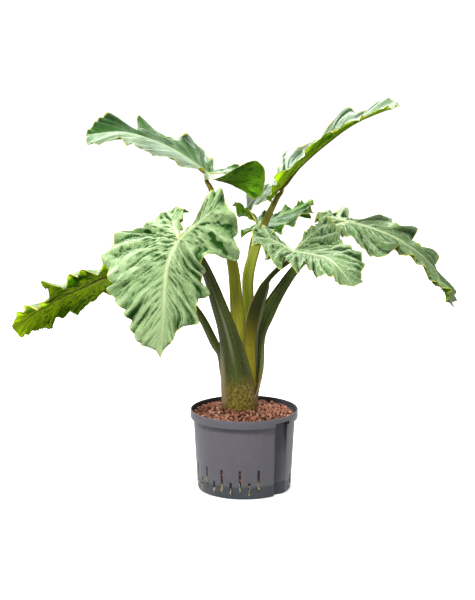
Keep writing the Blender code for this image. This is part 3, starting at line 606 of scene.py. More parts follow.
def clay_paint():
    paint = Paint("fired_clay", Specular_IOR_Level=0.3)
    here = paint.place()
    own = paint.attribute("tone")
    tone = paint.mix(own, (124, 76, 56), (178, 122, 96))
    tone = paint.mix(own.rise(0.95, 0.99), tone, (196, 160, 136))
    tone = paint.mix(own.rise(0.18, 0.06), tone, (86, 52, 40))
    cloud = paint.noise(here, 420.0, 4.0)
    shade = paint.mix(cloud.rise(0.4, 0.7) * 0.4, tone, (112, 66, 52))
    pores = paint.noise(here, 900.0, 3.0, 0.7)
    return paint.finish(shade, 0.82 + cloud * 0.15, paint.bump(pores, 0.0006))


def shade_bed_paint():
    paint = Paint("clay_bed")
    here = paint.place()
    # Painted shade: the bed is near black, standing for the shade between the pellets.
    shade = paint.mix(paint.noise(here, 260.0).rise(0.4, 0.65), (20, 13, 11), (52, 30, 24))
    return paint.finish(shade, 0.9 + paint.noise(here, 90.0) * 0.05)


def mound_rings(below):
    """Rings of the filling's top from the wall to the stem."""
    outside = ring_at(inner_profile(CLEAR)[3][0], 0)
    well = ring_at(STEM_RADIUS - 0.002, 0, STEM_CENTRE)
    rings = []
    for share in np.linspace(0, 1, 12):
        ring = outside + (well - outside) * share
        ring[:, 2] = GRANULE_EDGE_LEVEL + (GRANULE_STEM_LEVEL - GRANULE_EDGE_LEVEL) * share**1.5 - below
        rings.append(ring)
    return rings


def make_clay():
    below_step, above_step = inner_profile(CLEAR)[2:4]
    bottom = ROOT_MAT_TOP + CLEAR
    rings = [ring_at(wall_radius(bottom) - WALL - CLEAR, bottom), ring_at(*below_step), ring_at(*above_step)]
    rings += mound_rings(BED_BELOW)
    rings.append(ring_at(STEM_RADIUS - 0.002, STEM_FOOT, STEM_CENTRE))
    bed = lofted("clay_bed", rings, [shade_bed_paint()])
    cut_away(bed, niche(WALL + CLEAR, POT_HEIGHT + 0.05))

    ground = np.array(mound_rings(0.0))
    count, sides = ground.shape[:2]
    pellets = mesh_object("clay_pellets", ground.reshape(-1, 3), bands(count - 1, sides, sides))
    growth = Growth("clay pellets", {"Radius": PELLET_RADIUS, "Spacing": PELLET_SPACING, "Seed": 4,
                                     "Unevenness": PELLET_UNEVENNESS})
    places = growth.node("GeometryNodeDistributePointsOnFaces", {"distribute_method": "POISSON"},
                         {"Mesh": growth.input("Geometry"), "Distance Min": growth.input("Spacing"),
                          "Density Max": PELLETS_AT_MOST, "Seed": growth.input("Seed")})
    lift = growth.random(-1.0, 0.7, 1) * growth.input("Unevenness")
    raised = growth.node("GeometryNodeSetPosition", None,
                         {"Geometry": places, "Offset": growth.vector(0.0, 0.0, lift)})
    ball = growth.node("GeometryNodeMeshIcoSphere", None,
                       {"Radius": growth.input("Radius"), "Subdivisions": 2})
    turn = growth.vector(*(growth.random(0.0, 6.28, seed) for seed in (2, 3, 4)))
    size = growth.random(*PELLET_SIZES, 5)
    wide, high = growth.random(*PELLET_WIDTHS, 6), growth.random(*PELLET_HEIGHTS, 7)
    squash = growth.vector(size * wide, size, size * high)
    copies = growth.node("GeometryNodeInstanceOnPoints", None,
                         {"Points": raised, "Instance": ball, "Rotation": turn, "Scale": squash})
    toned = growth.node("GeometryNodeStoreNamedAttribute", {"data_type": "FLOAT", "domain": "INSTANCE"},
                        {"Geometry": copies, "Name": "tone", "Value": growth.random(0.0, 1.0, 8)})
    loose = growth.node("GeometryNodeRealizeInstances", None, {"Geometry": toned})
    here = growth.node("GeometryNodeInputPosition")
    lumps = growth.node("ShaderNodeTexNoise", {"noise_dimensions": "3D"},
                        {"Vector": here, "Scale": 330.0, "Detail": 1.0}, "Color")
    centred = growth.node("ShaderNodeVectorMath", {"operation": "SUBTRACT"}, {0: lumps, 1: (0.5, 0.5, 0.5)})
    push = growth.node("ShaderNodeVectorMath", {"operation": "SCALE"}, {0: centred, "Scale": PELLET_DENTS})
    dented = growth.node("GeometryNodeSetPosition", None, {"Geometry": loose, "Offset": push})
    growth.grow(pellets, dented, clay_paint())
    pellets.data.shade_smooth()
    for piece in (bed, pellets):
        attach(piece, "root")
        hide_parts("clay_granules")


make_clay()


# The plant's short stem, an upright corm of old leaf bases, olive and mottled. Its foot stands in the
# clay, and the leaf stalks wrap round it with their feet.
STEM_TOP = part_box("stem_base")[1].z
STEM_CORE = 0.0385
STEM_RIBS = 9
STEM_RIB = 0.0008
STEM_NARROWS_FROM = 0.18


def stem_paint():
    paint = Paint("stem_skin", Specular_IOR_Level=0.4)
    here = paint.place()
    streaks = paint.noise(paint.place((1, 1, 0.12)), 240.0, 4.0)
    shade = paint.mix(streaks.rise(0.4, 0.65), (96, 92, 34), (150, 144, 66))
    shade = paint.mix(paint.noise(here, 300.0).rise(0.6, 0.68), shade, (66, 52, 26))
    return paint.finish(shade, 0.55 + streaks * 0.1, paint.bump(streaks, 0.0008))


def make_stem():
    turn = np.arange(POT_SEGMENTS) * 2 * np.pi / POT_SEGMENTS
    rings = [ring_at(STEM_CORE, STEM_FOOT, STEM_CENTRE)]
    for share in np.linspace(0, 1, 9):
        z = STEM_NARROWS_FROM + share * (STEM_TOP - STEM_NARROWS_FROM)
        round_over = np.sqrt(1 - (share * 0.9)**4)
        radius = STEM_CORE * (0.86 + 0.14 * round_over) + STEM_RIB * np.cos(STEM_RIBS * turn)
        rings.append(ring_at(radius, z, STEM_CENTRE))
    stem = lofted("stem", rings, [stem_paint()])
    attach(stem, "root")
    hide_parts("stem_base")


make_stem()


# Seven leaf blades, arrow shaped and 28 to 46 cm long, thin and waxy, puckered between their veins and
# ruffled along a toothed margin. Each grew in one piece with a thick midrib below and two ribs in the
# lobes behind the stalk. The upper side is pale green with a bloom, the underside a fuller green.
BLADE_THICKNESS = 0.0008
RIB_DEPTH = 0.0035
RIB_TIP_DEPTH = 0.0006
RIB_WIDTH = 0.0064
RIB_TIP_WIDTH = 0.0009
STEPS_PER_VEIN = 12
RIB_LEVELS = (0.0, 0.4, 0.75, 1.0)
BLADE_LEVELS = 46
CURVE_STEPS = 40
WAVES = 8
TOOTH = 0.045
TOOTHED_RAYS = 14
VEIN_SLANT = 2                    # how many rays nearer the tip a vein ends than it starts
VALLEY_AT = 0.62                  # of the way from one vein to the next, where the fold between is lowest
SLANTED_RAYS = (14, 9)            # rays at which that slant starts and is full, counted from the tip
FOLD_WIDTH = 0.0074
FOLD_LENGTH = 0.024
SMOOTH_BY_RIB = (0.001, 0.014)    # distances from a rib where the puckers start and are full
RIDGE_LENGTH = 0.08               # in which the ridge over a vein rises and sinks
SWING_LENGTH = 0.045              # in which the small folds swing to one side
SWING = 0.9                       # how far they do, in folds
PATCH_LENGTH = 0.05               # of the patches where they are deeper
FOLD_SLOPE = (0.12, 0.42)         # slopes of a small fold at which painted shade starts on its side and is full
STEEP_RAYS = (9.0, 7.5)           # rays at which painted shade starts on the steep side of a valley and is full
STEEP_DARK = 0.85                 # how dark that painted shade is, a small fold's side being 1
FACET_ROUND = 0.98                # at 1 the facets would meet in sharp edges
RAYS = [
    (1.00, 0.00, 1.00), (0.95, 0.08, 0.90), (0.88, 0.20, 0.79), (0.79, 0.34, 0.67), (0.70, 0.47, 0.55),
    (0.60, 0.60, 0.43), (0.48, 0.71, 0.32), (0.36, 0.81, 0.22), (0.22, 0.90, 0.13), (0.06, 0.97, 0.05),
    (-0.13, 1.00, 0.00), (-0.36, 0.95, -0.25), (-0.60, 0.80, -0.50), (-0.84, 0.52, -0.80),
    (-1.00, 0.22, -1.00), (-0.93, 0.07, -0.80), (-0.62, 0.01, -0.50), (-0.30, 0.00, -0.25),
    (0.00, 0.00, 0.00),
]
LOBE_END_ACROSS = 0.22
LOBE_RIB_END = (-0.62, 0.24)
FLAT = [(0, 0, 0, 0), (0, 0, 0, 0)]

# axis: the midrib from stalk to tip. ends: the ends of the two back lobes. face: which way the upper
# side looks at each axis point. width, fold, curl: for the two halves, the folds and curls in degrees at
# the lobe end, the stalk, the middle and the tip. reach: how far each vein ray runs, as a share of the
# even outline. wave: how high the solid's margin waves. pucker: how deep the folds between the veins
# are, frill: how far the margin stands out of them, and facet: how far every second vein stands up,
# which makes the blade a row of flat faces. Lengths are in millimetres.
LEAVES = {
    "a": dict(
        axis=[(-83, 30, 737), (-141, 50, 776), (-200, 60, 805), (-278, 50, 829), (-362, 40, 824)],
        ends=[(38, 0, 690), (36, 60, 742)],
        face=[(0.1, 0.0, 1), (-0.1, -0.05, 1), (-0.2, -0.05, 1), (-0.2, -0.1, 1), (-0.2, -0.3, 0.8)],
        width=[120, 120],
        fold=[(140, -25, -25, -20), (35, 15, 15, 40)],
        reach=[(1, 2.1, 1.6, .7, .75, .75, .45, .36, .18, .06, .1, .3, .9, 1.05, 1, 1, .3, .4, 1),
               (1, 1.5, 1.3, 1.2, .5, 1.05, .6, .65, .75, .3, .3, .4, .5, .6, .8, 1, 1, 1, 1)],
        wave=6, seed=3, pucker=2.8, frill=3.4, facet=16),
    "b": dict(
        axis=[(-147, -120, 611), (-170, -150, 564), (-177, -175, 506), (-179, -190, 446), (-187, -200, 355)],
        ends=[(-50, -70, 716), (-150, -30, 665)],
        face=[(0, -0.8, 0.6), (0, -0.85, 0.5), (0, -0.9, 0.4), (0, -0.95, 0.3), (0, -1, 0.2)],
        width=[165, 210],
        fold=[(0, -5, -5, 5), (-45, -36, -15, 0)],
        curl=[(-15, -20, -30, 0), (10, 0, -5, 0)],
        reach=[(1, .5, .7, .65, .95, .72, .84, .56, .57, .42, .83, .71, .8, .72, .9, .95, .35, .4, 1),
               (1, .8, 1.17, .98, .84, .83, .88, .8, .96, .88, .97, .62, .6, .85, 1.05, 1, .7, .8, 1)],
        wave=10, seed=2, pucker=6, frill=7.6),
    "c": dict(
        axis=[(-255, 90, 515), (-310, 85, 492), (-373, 80, 464), (-463, 70, 420), (-540, 60, 366)],
        ends=[(-196, 60, 570), (-199, 130, 480)],
        face=[(-0.1, 0.45, 0.8), (-0.1, 0.45, 0.8), (-0.1, 0.45, 0.8), (-0.1, 0.5, 0.7), (-0.1, 0.7, 0.6)],
        width=[130, 130],
        reach=[(1, 1.7, .9, .45, .6, 1.2, .9, .9, .65, .7, .45, .6, .8, .9, 1, 1, 1, 1, 1),
               (1, 2.3, 1.85, 1.4, 1.4, 1.05, 1.17, 1.0, .85, .8, .5, .7, .8, 1, 1, 1, 1, 1, 1)],
        wave=10, seed=4, pucker=5.6, frill=6.4),
    "d": dict(
        axis=[(87, 60, 701), (128, 70, 746), (186, 80, 796), (260, 90, 847), (357, 100, 885)],
        ends=[(4, 130, 645), (55, 40, 673)],
        face=[(-0.7, -0.4, 0.7), (-0.7, -0.4, 0.7), (-0.6, -0.4, 0.8), (-0.5, -0.4, 0.9), (-0.3, -0.3, 0.9)],
        width=[130, 75],
        fold=[(20, 20, 15, 10), (50, 50, 50, 30)],
        reach=[(1, 2.0, 1.5, .55, .95, .38, .42, .35, .66, .24, .3, .25, .35, .6, 1, 1, 1, 1, 1),
               (1, 1.2, 1.2, .5, .8, .5, 1, .5, .9, .5, .9, .6, .8, .8, 1, 1, 1, 1, 1)],
        wave=8, seed=5, pucker=2.6, frill=2, facet=9),
    "e": dict(
        axis=[(111, -100, 580), (151, -170, 585), (182, -220, 586), (209, -260, 567), (235, -280, 534)],
        ends=[(170, -45, 639), (22, -30, 625)],
        face=[(0.1, -0.5, 0.8), (0.1, -0.5, 0.8), (0.15, -0.6, 0.7), (0.2, -0.8, 0.6), (0.2, -0.8, 0.6)],
        width=[120, 120],
        fold=[(0, -10, -10, 0), (10, 10, 0, 0)],
        curl=[(0, 0, 0, 0), (-20, -20, 0, 0)],
        reach=[(1, 2.4, 1.5, 1.5, 1.15, .95, .95, .85, 1, 1.0, .95, .95, 1, .9, 1, 1, .9, .9, 1),
               (1, 1.2, 1.1, .9, 1, .85, .85, .7, .75, .6, .6, .5, .7, .7, 1, 1, 1, 1, 1)],
        wave=10, seed=6, pucker=6, frill=5),
    "f": dict(
        axis=[(239, 0, 631), (300, -10, 614), (364, -20, 584), (429, -20, 530), (483, -20, 430)],
        ends=[(165, 50, 638), (158, 18, 618)],
        face=[(0.1, -0.1, 1), (0.2, -0.1, 1), (0.4, -0.1, 0.9), (0.6, -0.1, 0.8), (0.8, -0.1, 0.4)],
        width=[120, 120],
        fold=[(15, 0, 15, 5), (-10, -30, -20, 0)],
        curl=[(0, -10, 0, 0), (0, -40, -30, 0)],
        reach=[(1, 1.2, 2.0, .8, .7, .4, .85, .6, 1.2, .12, .4, .6, .75, .55, .9, 1, 1, 1, 1),
               (1, 1.2, 1, .8, .75, .45, .4, .75, .65, .42, .35, .35, .5, .6, .8, 1, 1, 1, 1)],
        wave=10, seed=7, pucker=6, frill=6.6),
    "g": dict(
        axis=[(32, 110, 607), (72, 155, 612), (109, 205, 621), (139, 245, 628), (164, 280, 638)],
        ends=[(-3, 140, 646), (-1, 75, 587)],
        face=[(0, -0.3, 1), (-0.1, -0.3, 1), (-0.1, -0.3, 1), (-0.1, -0.3, 1), (-0.1, -0.3, 1)],
        width=[100, 100],
        fold=[(10, 10, 10, 0), (10, 10, 10, 0)],
        reach=[(1, .6, .5, .25, .35, .3, .3, .4, .45, .5, .6, .7, .8, .8, 1, 1, 1, 1, 1),
               (1, 1.2, 1, .85, 1, .85, 1, .85, .75, .85, .8, .85, 1, .85, 1, 1, 1, 1, 1)],
        wave=10, seed=8, pucker=3.6, frill=3, facet=6),
}


def smooth(points, count):
    """A Catmull-Rom curve through the points, with count steps per stretch."""
    p = np.asarray(points, float)
    p = np.vstack([2 * p[0] - p[1], p, 2 * p[-1] - p[-2]])
    stretches = []
    for i in range(1, len(p) - 2):
        t = np.arange(count)[:, None] / count
        a, b, c, d = p[i - 1:i + 3]
        square = (2 * a - 5 * b + 4 * c - d) * t**2
        cube = (3 * b - a - 3 * c + d) * t**3
        stretches.append(0.5 * (2 * b + (c - a) * t + square + cube))
    return np.vstack([*stretches, p[-2][None]])


def distance_along(curve):
    steps = np.linalg.norm(np.diff(curve, axis=0), axis=1)
    return np.concatenate([[0], np.cumsum(steps)])


def unit(v):
    return v / np.maximum(np.linalg.norm(v, axis=-1, keepdims=True), 1e-12)


def square_to(v, axis):
    """The part of v that is square to axis, at length 1."""
    return unit(v - (v * axis).sum(-1, keepdims=True) * axis)


def interpolate(x, stations, rows):
    rows = np.asarray(rows, float)
    return np.stack([np.interp(x, stations, rows[:, k]) for k in range(rows.shape[1])], -1)


def step(x, low, high):
    share = np.clip((x - low) / (high - low), 0, 1)
    return share * share * (3 - 2 * share)


def hills(x, y, seed):
    """Smooth random heights from -1 to 1 over a plane, about one hill for each unit."""
    size = 64
    table = np.random.default_rng(seed).uniform(-1, 1, (size, size))
    i, j = np.floor(x).astype(int), np.floor(y).astype(int)
    u, v = step(x - i, 0, 1), step(y - j, 0, 1)
    low = table[i % size, j % size] * (1 - u) + table[(i + 1) % size, j % size] * u
    high = table[i % size, (j + 1) % size] * (1 - u) + table[(i + 1) % size, (j + 1) % size] * u
    return low * (1 - v) + high * v


class Blade:
    """One leaf blade as a formula: flat (along, across) places of either half, put in space."""

    def __init__(self, axis, ends, face, width, reach, wave, seed, pucker, frill, fold=FLAT, curl=FLAT,
                 facet=0):
        self.curve = smooth(np.array(axis) / 1000, CURVE_STEPS)
        self.s = distance_along(self.curve)
        self.length = self.s[-1]
        tangent = unit(np.gradient(self.curve, self.s, axis=0))
        knots = np.arange(len(self.curve)) / CURVE_STEPS
        self.normal = square_to(interpolate(knots, range(len(face)), face), tangent)
        self.side = np.cross(self.normal, tangent)
        self.width, self.reach, self.seed = np.array(width) / 1000, reach, seed
        self.wave, self.pucker, self.frill, self.facet = np.array([wave, pucker, frill, facet]) / 1000
        self.fold, self.curl = np.radians(fold), np.radians(curl)
        self.lobe = np.zeros((2, 3))
        for half in (0, 1):
            across = np.array(LOBE_END_ACROSS * self.width[half])
            end = self.place(np.array(-1.0), across, half, np.array(0.0))
            self.lobe[half] = np.array(ends[half]) / 1000 - end

    def place(self, x, y, half, lift):
        """Flat places to space: a half rises by its fold at the midrib and curls further outwards."""
        stations = [-1, 0, 0.5, 1]
        sign = 1 - 2 * half
        fold = np.interp(x, stations, self.fold[half])
        bend = np.interp(x, stations, self.curl[half]) / self.width[half]
        bend = np.where(np.abs(bend) < 1e-6, 1e-6, bend)
        angle = fold + bend * y
        across = (np.sin(angle) - np.sin(fold)) / bend
        up = (np.cos(fold) - np.cos(angle)) / bend
        back = np.clip(-x, 0, None)[..., None]
        s = x * self.length
        centre = interpolate(s, self.s, self.curve) + back * self.lobe[half]
        normal = unit(interpolate(s, self.s, self.normal))
        side = unit(interpolate(s, self.s, self.side))
        outwards = (sign * across)[..., None] * side
        upwards = up[..., None] * normal
        facing = np.cos(angle)[..., None] * normal - (sign * np.sin(angle))[..., None] * side
        return centre + outwards + upwards + lift[..., None] * facing

    def rays(self, half):
        """Each fine ray's place in the row of rays, and its flat start and toothed end."""
        rays = np.asarray(RAYS)
        start = np.where(rays[:, 2:] > 0, rays[:, 2:] * [1, 0], -rays[:, 2:] * LOBE_RIB_END)
        end = start + (rays[:, :2] - start) * np.asarray(self.reach[half])[:, None]
        fine_end = smooth(end, STEPS_PER_VEIN)
        ray = np.linspace(0, len(rays) - 1, len(fine_end))
        fine_start = interpolate(ray, range(len(rays)), start)
        between = np.abs(1 - 2 * (self.vein_at(ray, 1.0) % 1))
        shown = step(ray, 0.5, 2) * step(ray, TOOTHED_RAYS, TOOTHED_RAYS - 1)
        small = hills(ray * 3.7, ray * 0, self.seed * 7 + half)
        tooth = 1 + TOOTH * shown * (0.35 - (1 - between)**3 + 0.45 * small)
        fine_end = fine_start + (fine_end - fine_start) * tooth[:, None]
        scale = [1, self.width[half]]
        return ray, fine_start * scale, fine_end * scale

    def vein_at(self, ray, t):
        """The place in the row of veins, which slant more towards the tip than the rays do."""
        return ray + VEIN_SLANT * t * step(ray, 0, 3) * step(ray, *SLANTED_RAYS)

    def ripple(self, ray, half):
        """The margin's wave along the row of rays, as in the solid."""
        v = ray / (len(RAYS) - 1)
        rng = np.random.default_rng(self.seed * 10 + 1 - half)
        along = v * WAVES
        knots = np.arange(WAVES + 3)
        jitter = np.interp(along, knots, rng.uniform(-0.12, 0.12, WAVES + 3))
        size = np.interp(along, knots, rng.uniform(0.6, 1.25, WAVES + 3))
        fade = np.clip(along / 1.2, 0, 1) * np.clip((WAVES - along) / 1.5, 0, 1)
        return size * fade * np.cos(2 * np.pi * (along + jitter) + 0.25 * (1 - 2 * half))

    def sheet(self, half):
        """Points of one half, a row for each fine ray, and what the paint needs to know at each."""
        # Flat places on the rays, close together on the rib, and their distances from the midrib.
        ray, start, end = self.rays(half)
        flat_length = np.linalg.norm((end - start) * [self.length, 1], axis=1)
        share = np.where(start[:, 0] > 0, start[:, 0], start[:, 0] / LOBE_RIB_END[0])
        rib = RIB_TIP_WIDTH + (RIB_WIDTH - RIB_TIP_WIDTH) * (1 - share)**0.7
        rib_share = np.clip(rib / np.maximum(flat_length, 1e-6), 0, 0.25)[:, None]
        rest = np.linspace(0, 1, BLADE_LEVELS + 1)[None, 1:]
        t = np.concatenate([rib_share * RIB_LEVELS, rib_share + (1 - rib_share) * rest], 1)
        flat = start[:, None] + (end - start)[:, None] * t[..., None]
        bare = self.place(flat[..., 0], flat[..., 1], half, np.zeros_like(t))
        steps = np.linalg.norm(np.diff(bare, axis=1), axis=-1)
        along = np.concatenate([np.zeros((len(t), 1)), np.cumsum(steps, axis=1)], 1)
        rays = np.broadcast_to(ray[:, None], t.shape)
        seed = self.seed * 100 + half * 50

        # Ridges over the veins and a valley between each two.
        away = step(along, *SMOOTH_BY_RIB)
        vein = self.vein_at(rays, t)
        s = vein % 1
        turn = np.where(s < VALLEY_AT, s / VALLEY_AT, 2 - (1 - s) / (1 - VALLEY_AT)) * np.pi
        size = 0.75 + 0.9 * hills(np.floor(vein - VALLEY_AT) * 1.37, along / RIDGE_LENGTH, seed + 1)
        ridge = np.cos(turn) * size * (0.06 + 1.3 * step(t, 0.1, 1.1)) * step(rays, 0.3, 3.0)

        # Small folds that run along the veins, in patches.
        bend = SWING * hills(vein * 0.9, along / SWING_LENGTH, seed + 2)
        middle = bare[:, int(0.6 * bare.shape[1])]
        fold_at = np.interp(vein, ray, distance_along(middle)) / FOLD_WIDTH + bend
        fold_along = along / FOLD_LENGTH + 0.4 * vein

        def folds(shift):
            fine = hills((fold_at + shift) * 1.4, fold_along * 2.2, seed + 7)
            return 0.8 * hills(fold_at + shift, fold_along, seed + 3) + 0.6 * fine

        patch = away * (0.65 + 0.35 * hills(vein * 0.5, along / PATCH_LENGTH, seed + 4))
        patch = patch * step(rays, 0.5, 5.0) * step(t, 1.15, 0.8)
        relief = patch * folds(0.0)

        # Painted shade, as dark pockets on the sides of the folds and of the valleys that turn from the
        # light. It changes only the colour.
        steep_shade = step(s, VALLEY_AT, VALLEY_AT + 0.1) * step(s, 1.0, 0.88) * step(size, 0.6, 1.3)
        steep_shade = STEEP_DARK * steep_shade * step(t, 0.35, 0.8)
        steep_shade = steep_shade * step(rays, *STEEP_RAYS) * step(rays, 1.0, 3.0)
        painted_shade_mask = np.maximum(patch * step(folds(0.2) - folds(-0.2), *FOLD_SLOPE), steep_shade)

        # How far folds, ridges and facets, and the margin's wave and frills, lift the sheet.
        facets = np.arccos(np.cos(np.pi * (vein - 3)) * FACET_ROUND) / np.pi - 0.5
        lift = self.pucker * relief + self.frill * 1.1 * away * ridge - self.facet * facets * step(t, 0, 1.3)
        lift = lift + self.wave * self.ripple(ray, half)[:, None] * t**2
        frills = hills(rays * 1.9, along * 0, seed + 5) + 0.5 * hills(rays * 4.1, along * 0, seed + 6)
        lift = lift + self.frill * frills * step(t, 0.72, 1.0) * step(ray, 0.5, 2)[:, None]
        lift = lift * step(ray, len(RAYS) - 1, TOOTHED_RAYS)[:, None]**0.5
        points = self.place(flat[..., 0], flat[..., 1], half, lift)

        # The rib's round back, deepest at the stalk.
        spacing = np.linalg.norm(np.gradient(bare, ray, axis=0), axis=-1)
        crown = np.clip(1 - (along / rib[:, None])**2, 0, 1)
        depth = RIB_TIP_DEPTH + (RIB_DEPTH - RIB_TIP_DEPTH) * (1 - share)**0.7
        facts = dict(ray=vein, fold=fold_at - bend, spacing=spacing, along=along, edge=along[:, -1:] - along,
                     relief=relief + ridge, painted_shade=painted_shade_mask, rib=crown)
        return points, facts, depth[:, None] * np.sqrt(crown), t


def edges_of(triangles):
    return np.concatenate([triangles[:, [0, 1]], triangles[:, [1, 2]], triangles[:, [2, 0]]])


def margin_wall(edges, below):
    """Two triangles from each edge down to the same edge, whose points are numbered this much higher."""
    a, b = edges.T
    return np.concatenate([np.stack([b, a, below + a], 1), np.stack([b, below + a, below + b], 1)])


def blade_mesh(name, blade, paints):
    """Both halves as one sheet, thickened, with the ribs below. The paints are for the upper side, the
    underside and, where it differs, the second half's upper side."""
    # The two halves' grids of points, cut into triangles.
    points = []
    ribs = []
    margin = []
    facts = {}
    corners = []
    for half in (0, 1):
        grid, known, rib, t = blade.sheet(half)
        rows, columns = grid.shape[:2]
        first = sum(len(p) for p in points)
        points.append(grid.reshape(-1, 3))
        ribs.append(rib.reshape(-1))
        margin.append(t.reshape(-1))
        for key, values in known.items():
            facts.setdefault(key, []).append(values.reshape(-1))
        at = first + np.arange(rows * columns).reshape(rows, columns)
        a, b, c, d = at[:-1, :-1], at[1:, :-1], at[1:, 1:], at[:-1, 1:]
        pairs = np.stack([a, b, c, a, c, d], -1).reshape(-1, 3)
        corners.append(pairs if half else pairs[:, ::-1])
    points = np.concatenate(points)
    corners = np.concatenate(corners)
    facts = {key: np.concatenate(values) for key, values in facts.items()}

    # Points that fall together become one. What the paint needs stays with each half's own corners.
    _, index, where = np.unique(np.round(points * 1e6).astype(np.int64), axis=0, return_index=True,
                                return_inverse=True)
    where = where.reshape(-1)
    merged = where[corners]
    a, b, c = merged.T
    whole = (a != b) & (b != c) & (a != c)
    second_half = (np.arange(len(merged)) * 2 >= len(merged))[whole]
    merged, corners = merged[whole], corners[whole]
    points = points[index]
    ribs = np.concatenate(ribs)[index]
    margin = np.concatenate(margin)[index]

    # Both skins, along the normals of the sheet, and the narrow wall between them round the margin.
    first, second, third = points[merged].transpose(1, 0, 2)
    faces_normal = np.cross(second - first, third - first)
    normals = np.zeros_like(points)
    for corner in range(3):
        np.add.at(normals, merged[:, corner], faces_normal)
    normals = unit(normals)
    half_thick = (BLADE_THICKNESS / 2 * (1 - 0.45 * margin**8))[:, None]
    upper = points + normals * (half_thick + 0.12 * ribs[:, None])
    lower = points - normals * (half_thick + ribs[:, None])
    count = len(points)
    ends, sources = edges_of(merged), edges_of(corners)
    codes = ends[:, 0] * count + ends[:, 1]
    open_edge = ~np.isin(codes, ends[:, 1] * count + ends[:, 0])
    ends, sources = ends[open_edge], sources[open_edge]
    sides = margin_wall(ends, count)
    faces = np.concatenate([merged, count + merged[:, ::-1], sides])
    known_at = np.concatenate([corners, corners[:, ::-1], margin_wall(sources, 0)]).reshape(-1)
    made = mesh_object(name, [], [], paints)
    made.data.from_pydata(np.concatenate([upper, lower]).tolist(), [], faces.tolist())
    for key, values in facts.items():
        layer = made.data.attributes.new(key, "FLOAT", "CORNER")
        layer.data.foreach_set("value", values[known_at].astype(np.float32))
    upper_paint = second_half * (2 if len(paints) > 2 else 0)
    which = np.concatenate([upper_paint, np.ones(len(merged)), np.zeros(len(sides))])
    made.data.polygons.foreach_set("material_index", which.astype(np.int32))
    made.data.shade_smooth()
    return made


MARGIN_TONE = (190, 192, 76)
VEIN_LINE = (0.0019, 0.0005)      # from a vein's line, where its pale band ends and where it is whole
MARGIN_LINE = (0.0030, 0.0008)    # the same from the margin
TIP_RAYS = (7.0, 3.0)             # rays at which the tip's colour begins and is whole
NET_ALONG = 95.0                  # meshes of the net in a metre along a ray
USUAL_MOTTLE = 0.4
UNDERSIDE = dict(midrib=(104, 72, 26), rough=0.6, gloss=0.05, vein_height=1.4)


def leaf_paint(name, high, tip, low, vein, midrib, rough, gloss, vein_height=1.0, net_shown=0.3,
               dull_tip=0.0, mottle=USUAL_MOTTLE):
    """The skin of one side of a blade: puckers with painted shade in their folds and pits, veins, a net
    between them and a pale margin line.
    """
    paint = Paint(name, Specular_IOR_Level=gloss * 0.6, Coat_Roughness=0.34, Coat_IOR=1.6)
    here = paint.place()
    ray, fold, spacing = (paint.attribute(kind) for kind in ("ray", "fold", "spacing"))
    along, edge = paint.attribute("along"), paint.attribute("edge")
    relief, painted_shade, rib = (paint.attribute(kind) for kind in ("relief", "painted_shade", "rib"))
    drift = (paint.noise(paint.vector(ray * 0.7, along * 24.0, 0.0), 1.0, 2.0) - 0.5) * along.rise(0.0, 0.05)
    off_vein = ((ray + 0.5 + drift * 0.7).math("FRACT") - 0.5).math("ABSOLUTE") * spacing
    veins = off_vein.rise(*VEIN_LINE) * edge.rise(0.0, 0.02)
    flat = paint.vector(fold, along * NET_ALONG, 0.0)
    warp = paint.noise(flat, 0.8, 2.0) * 1.6
    net_place = paint.vector(fold + warp, along * NET_ALONG + warp, 0.0)
    net = paint.node("ShaderNodeTexVoronoi", {"feature": "DISTANCE_TO_EDGE", "voronoi_dimensions": "2D"},
                     {"Vector": net_place, "Scale": 1.0})
    threads = net.rise(0.10, 0.02)
    cloud = paint.noise(here, 26.0, 3.0)
    fine = paint.noise(here, 260.0, 3.0)
    pits = paint.noise(paint.vector(fold * 1.8, along * 110.0, 0.0), 1.0, 2.0).rise(0.56, 0.64)
    patches = (paint.noise(here, 17.0) + (mottle - USUAL_MOTTLE) * 0.12).rise(0.42, 0.6)
    pits = pits * ray.rise(1.0, 5.0) * patches
    # Painted shade: darker colour in the valleys, on fold sides turned from the light and in pits, as much
    # as mottle says.
    depth = relief * 0.45 - painted_shade * 1.1 - pits * mottle + (cloud - 0.5) * 0.4 + (fine - 0.5) * 0.3
    shade = paint.mix(depth.rise(-0.85, 0.05), low, paint.mix(ray.rise(*TIP_RAYS), high, tip))
    shade = paint.mix(threads * (1.0 - painted_shade) * net_shown, shade, vein)
    shade = paint.mix(veins * net_shown * 1.3, shade, vein)
    shade = paint.mix(rib.rise(0.0, 0.55), shade, midrib)
    shade = paint.mix(edge.rise(*MARGIN_LINE), shade, MARGIN_TONE)
    crinkle = paint.noise(paint.vector(fold * 1.5, along * 85.0, 0.0), 1.0, 4.0, 0.6)
    raised = (veins * 0.8 + threads * 0.35) * vein_height + fine * 0.35 + crinkle * 3.2 - pits * 1.5
    glossy = rough + (cloud - 0.5) * 0.15
    waxy = (1.0 - painted_shade * 0.8) * (1.0 - ray.rise(*TIP_RAYS) * dull_tip)
    paint.tree.links.new((waxy * gloss).output, paint.shader.inputs["Coat Weight"])
    return paint.finish(shade, glossy, paint.bump(raised, 0.0009))


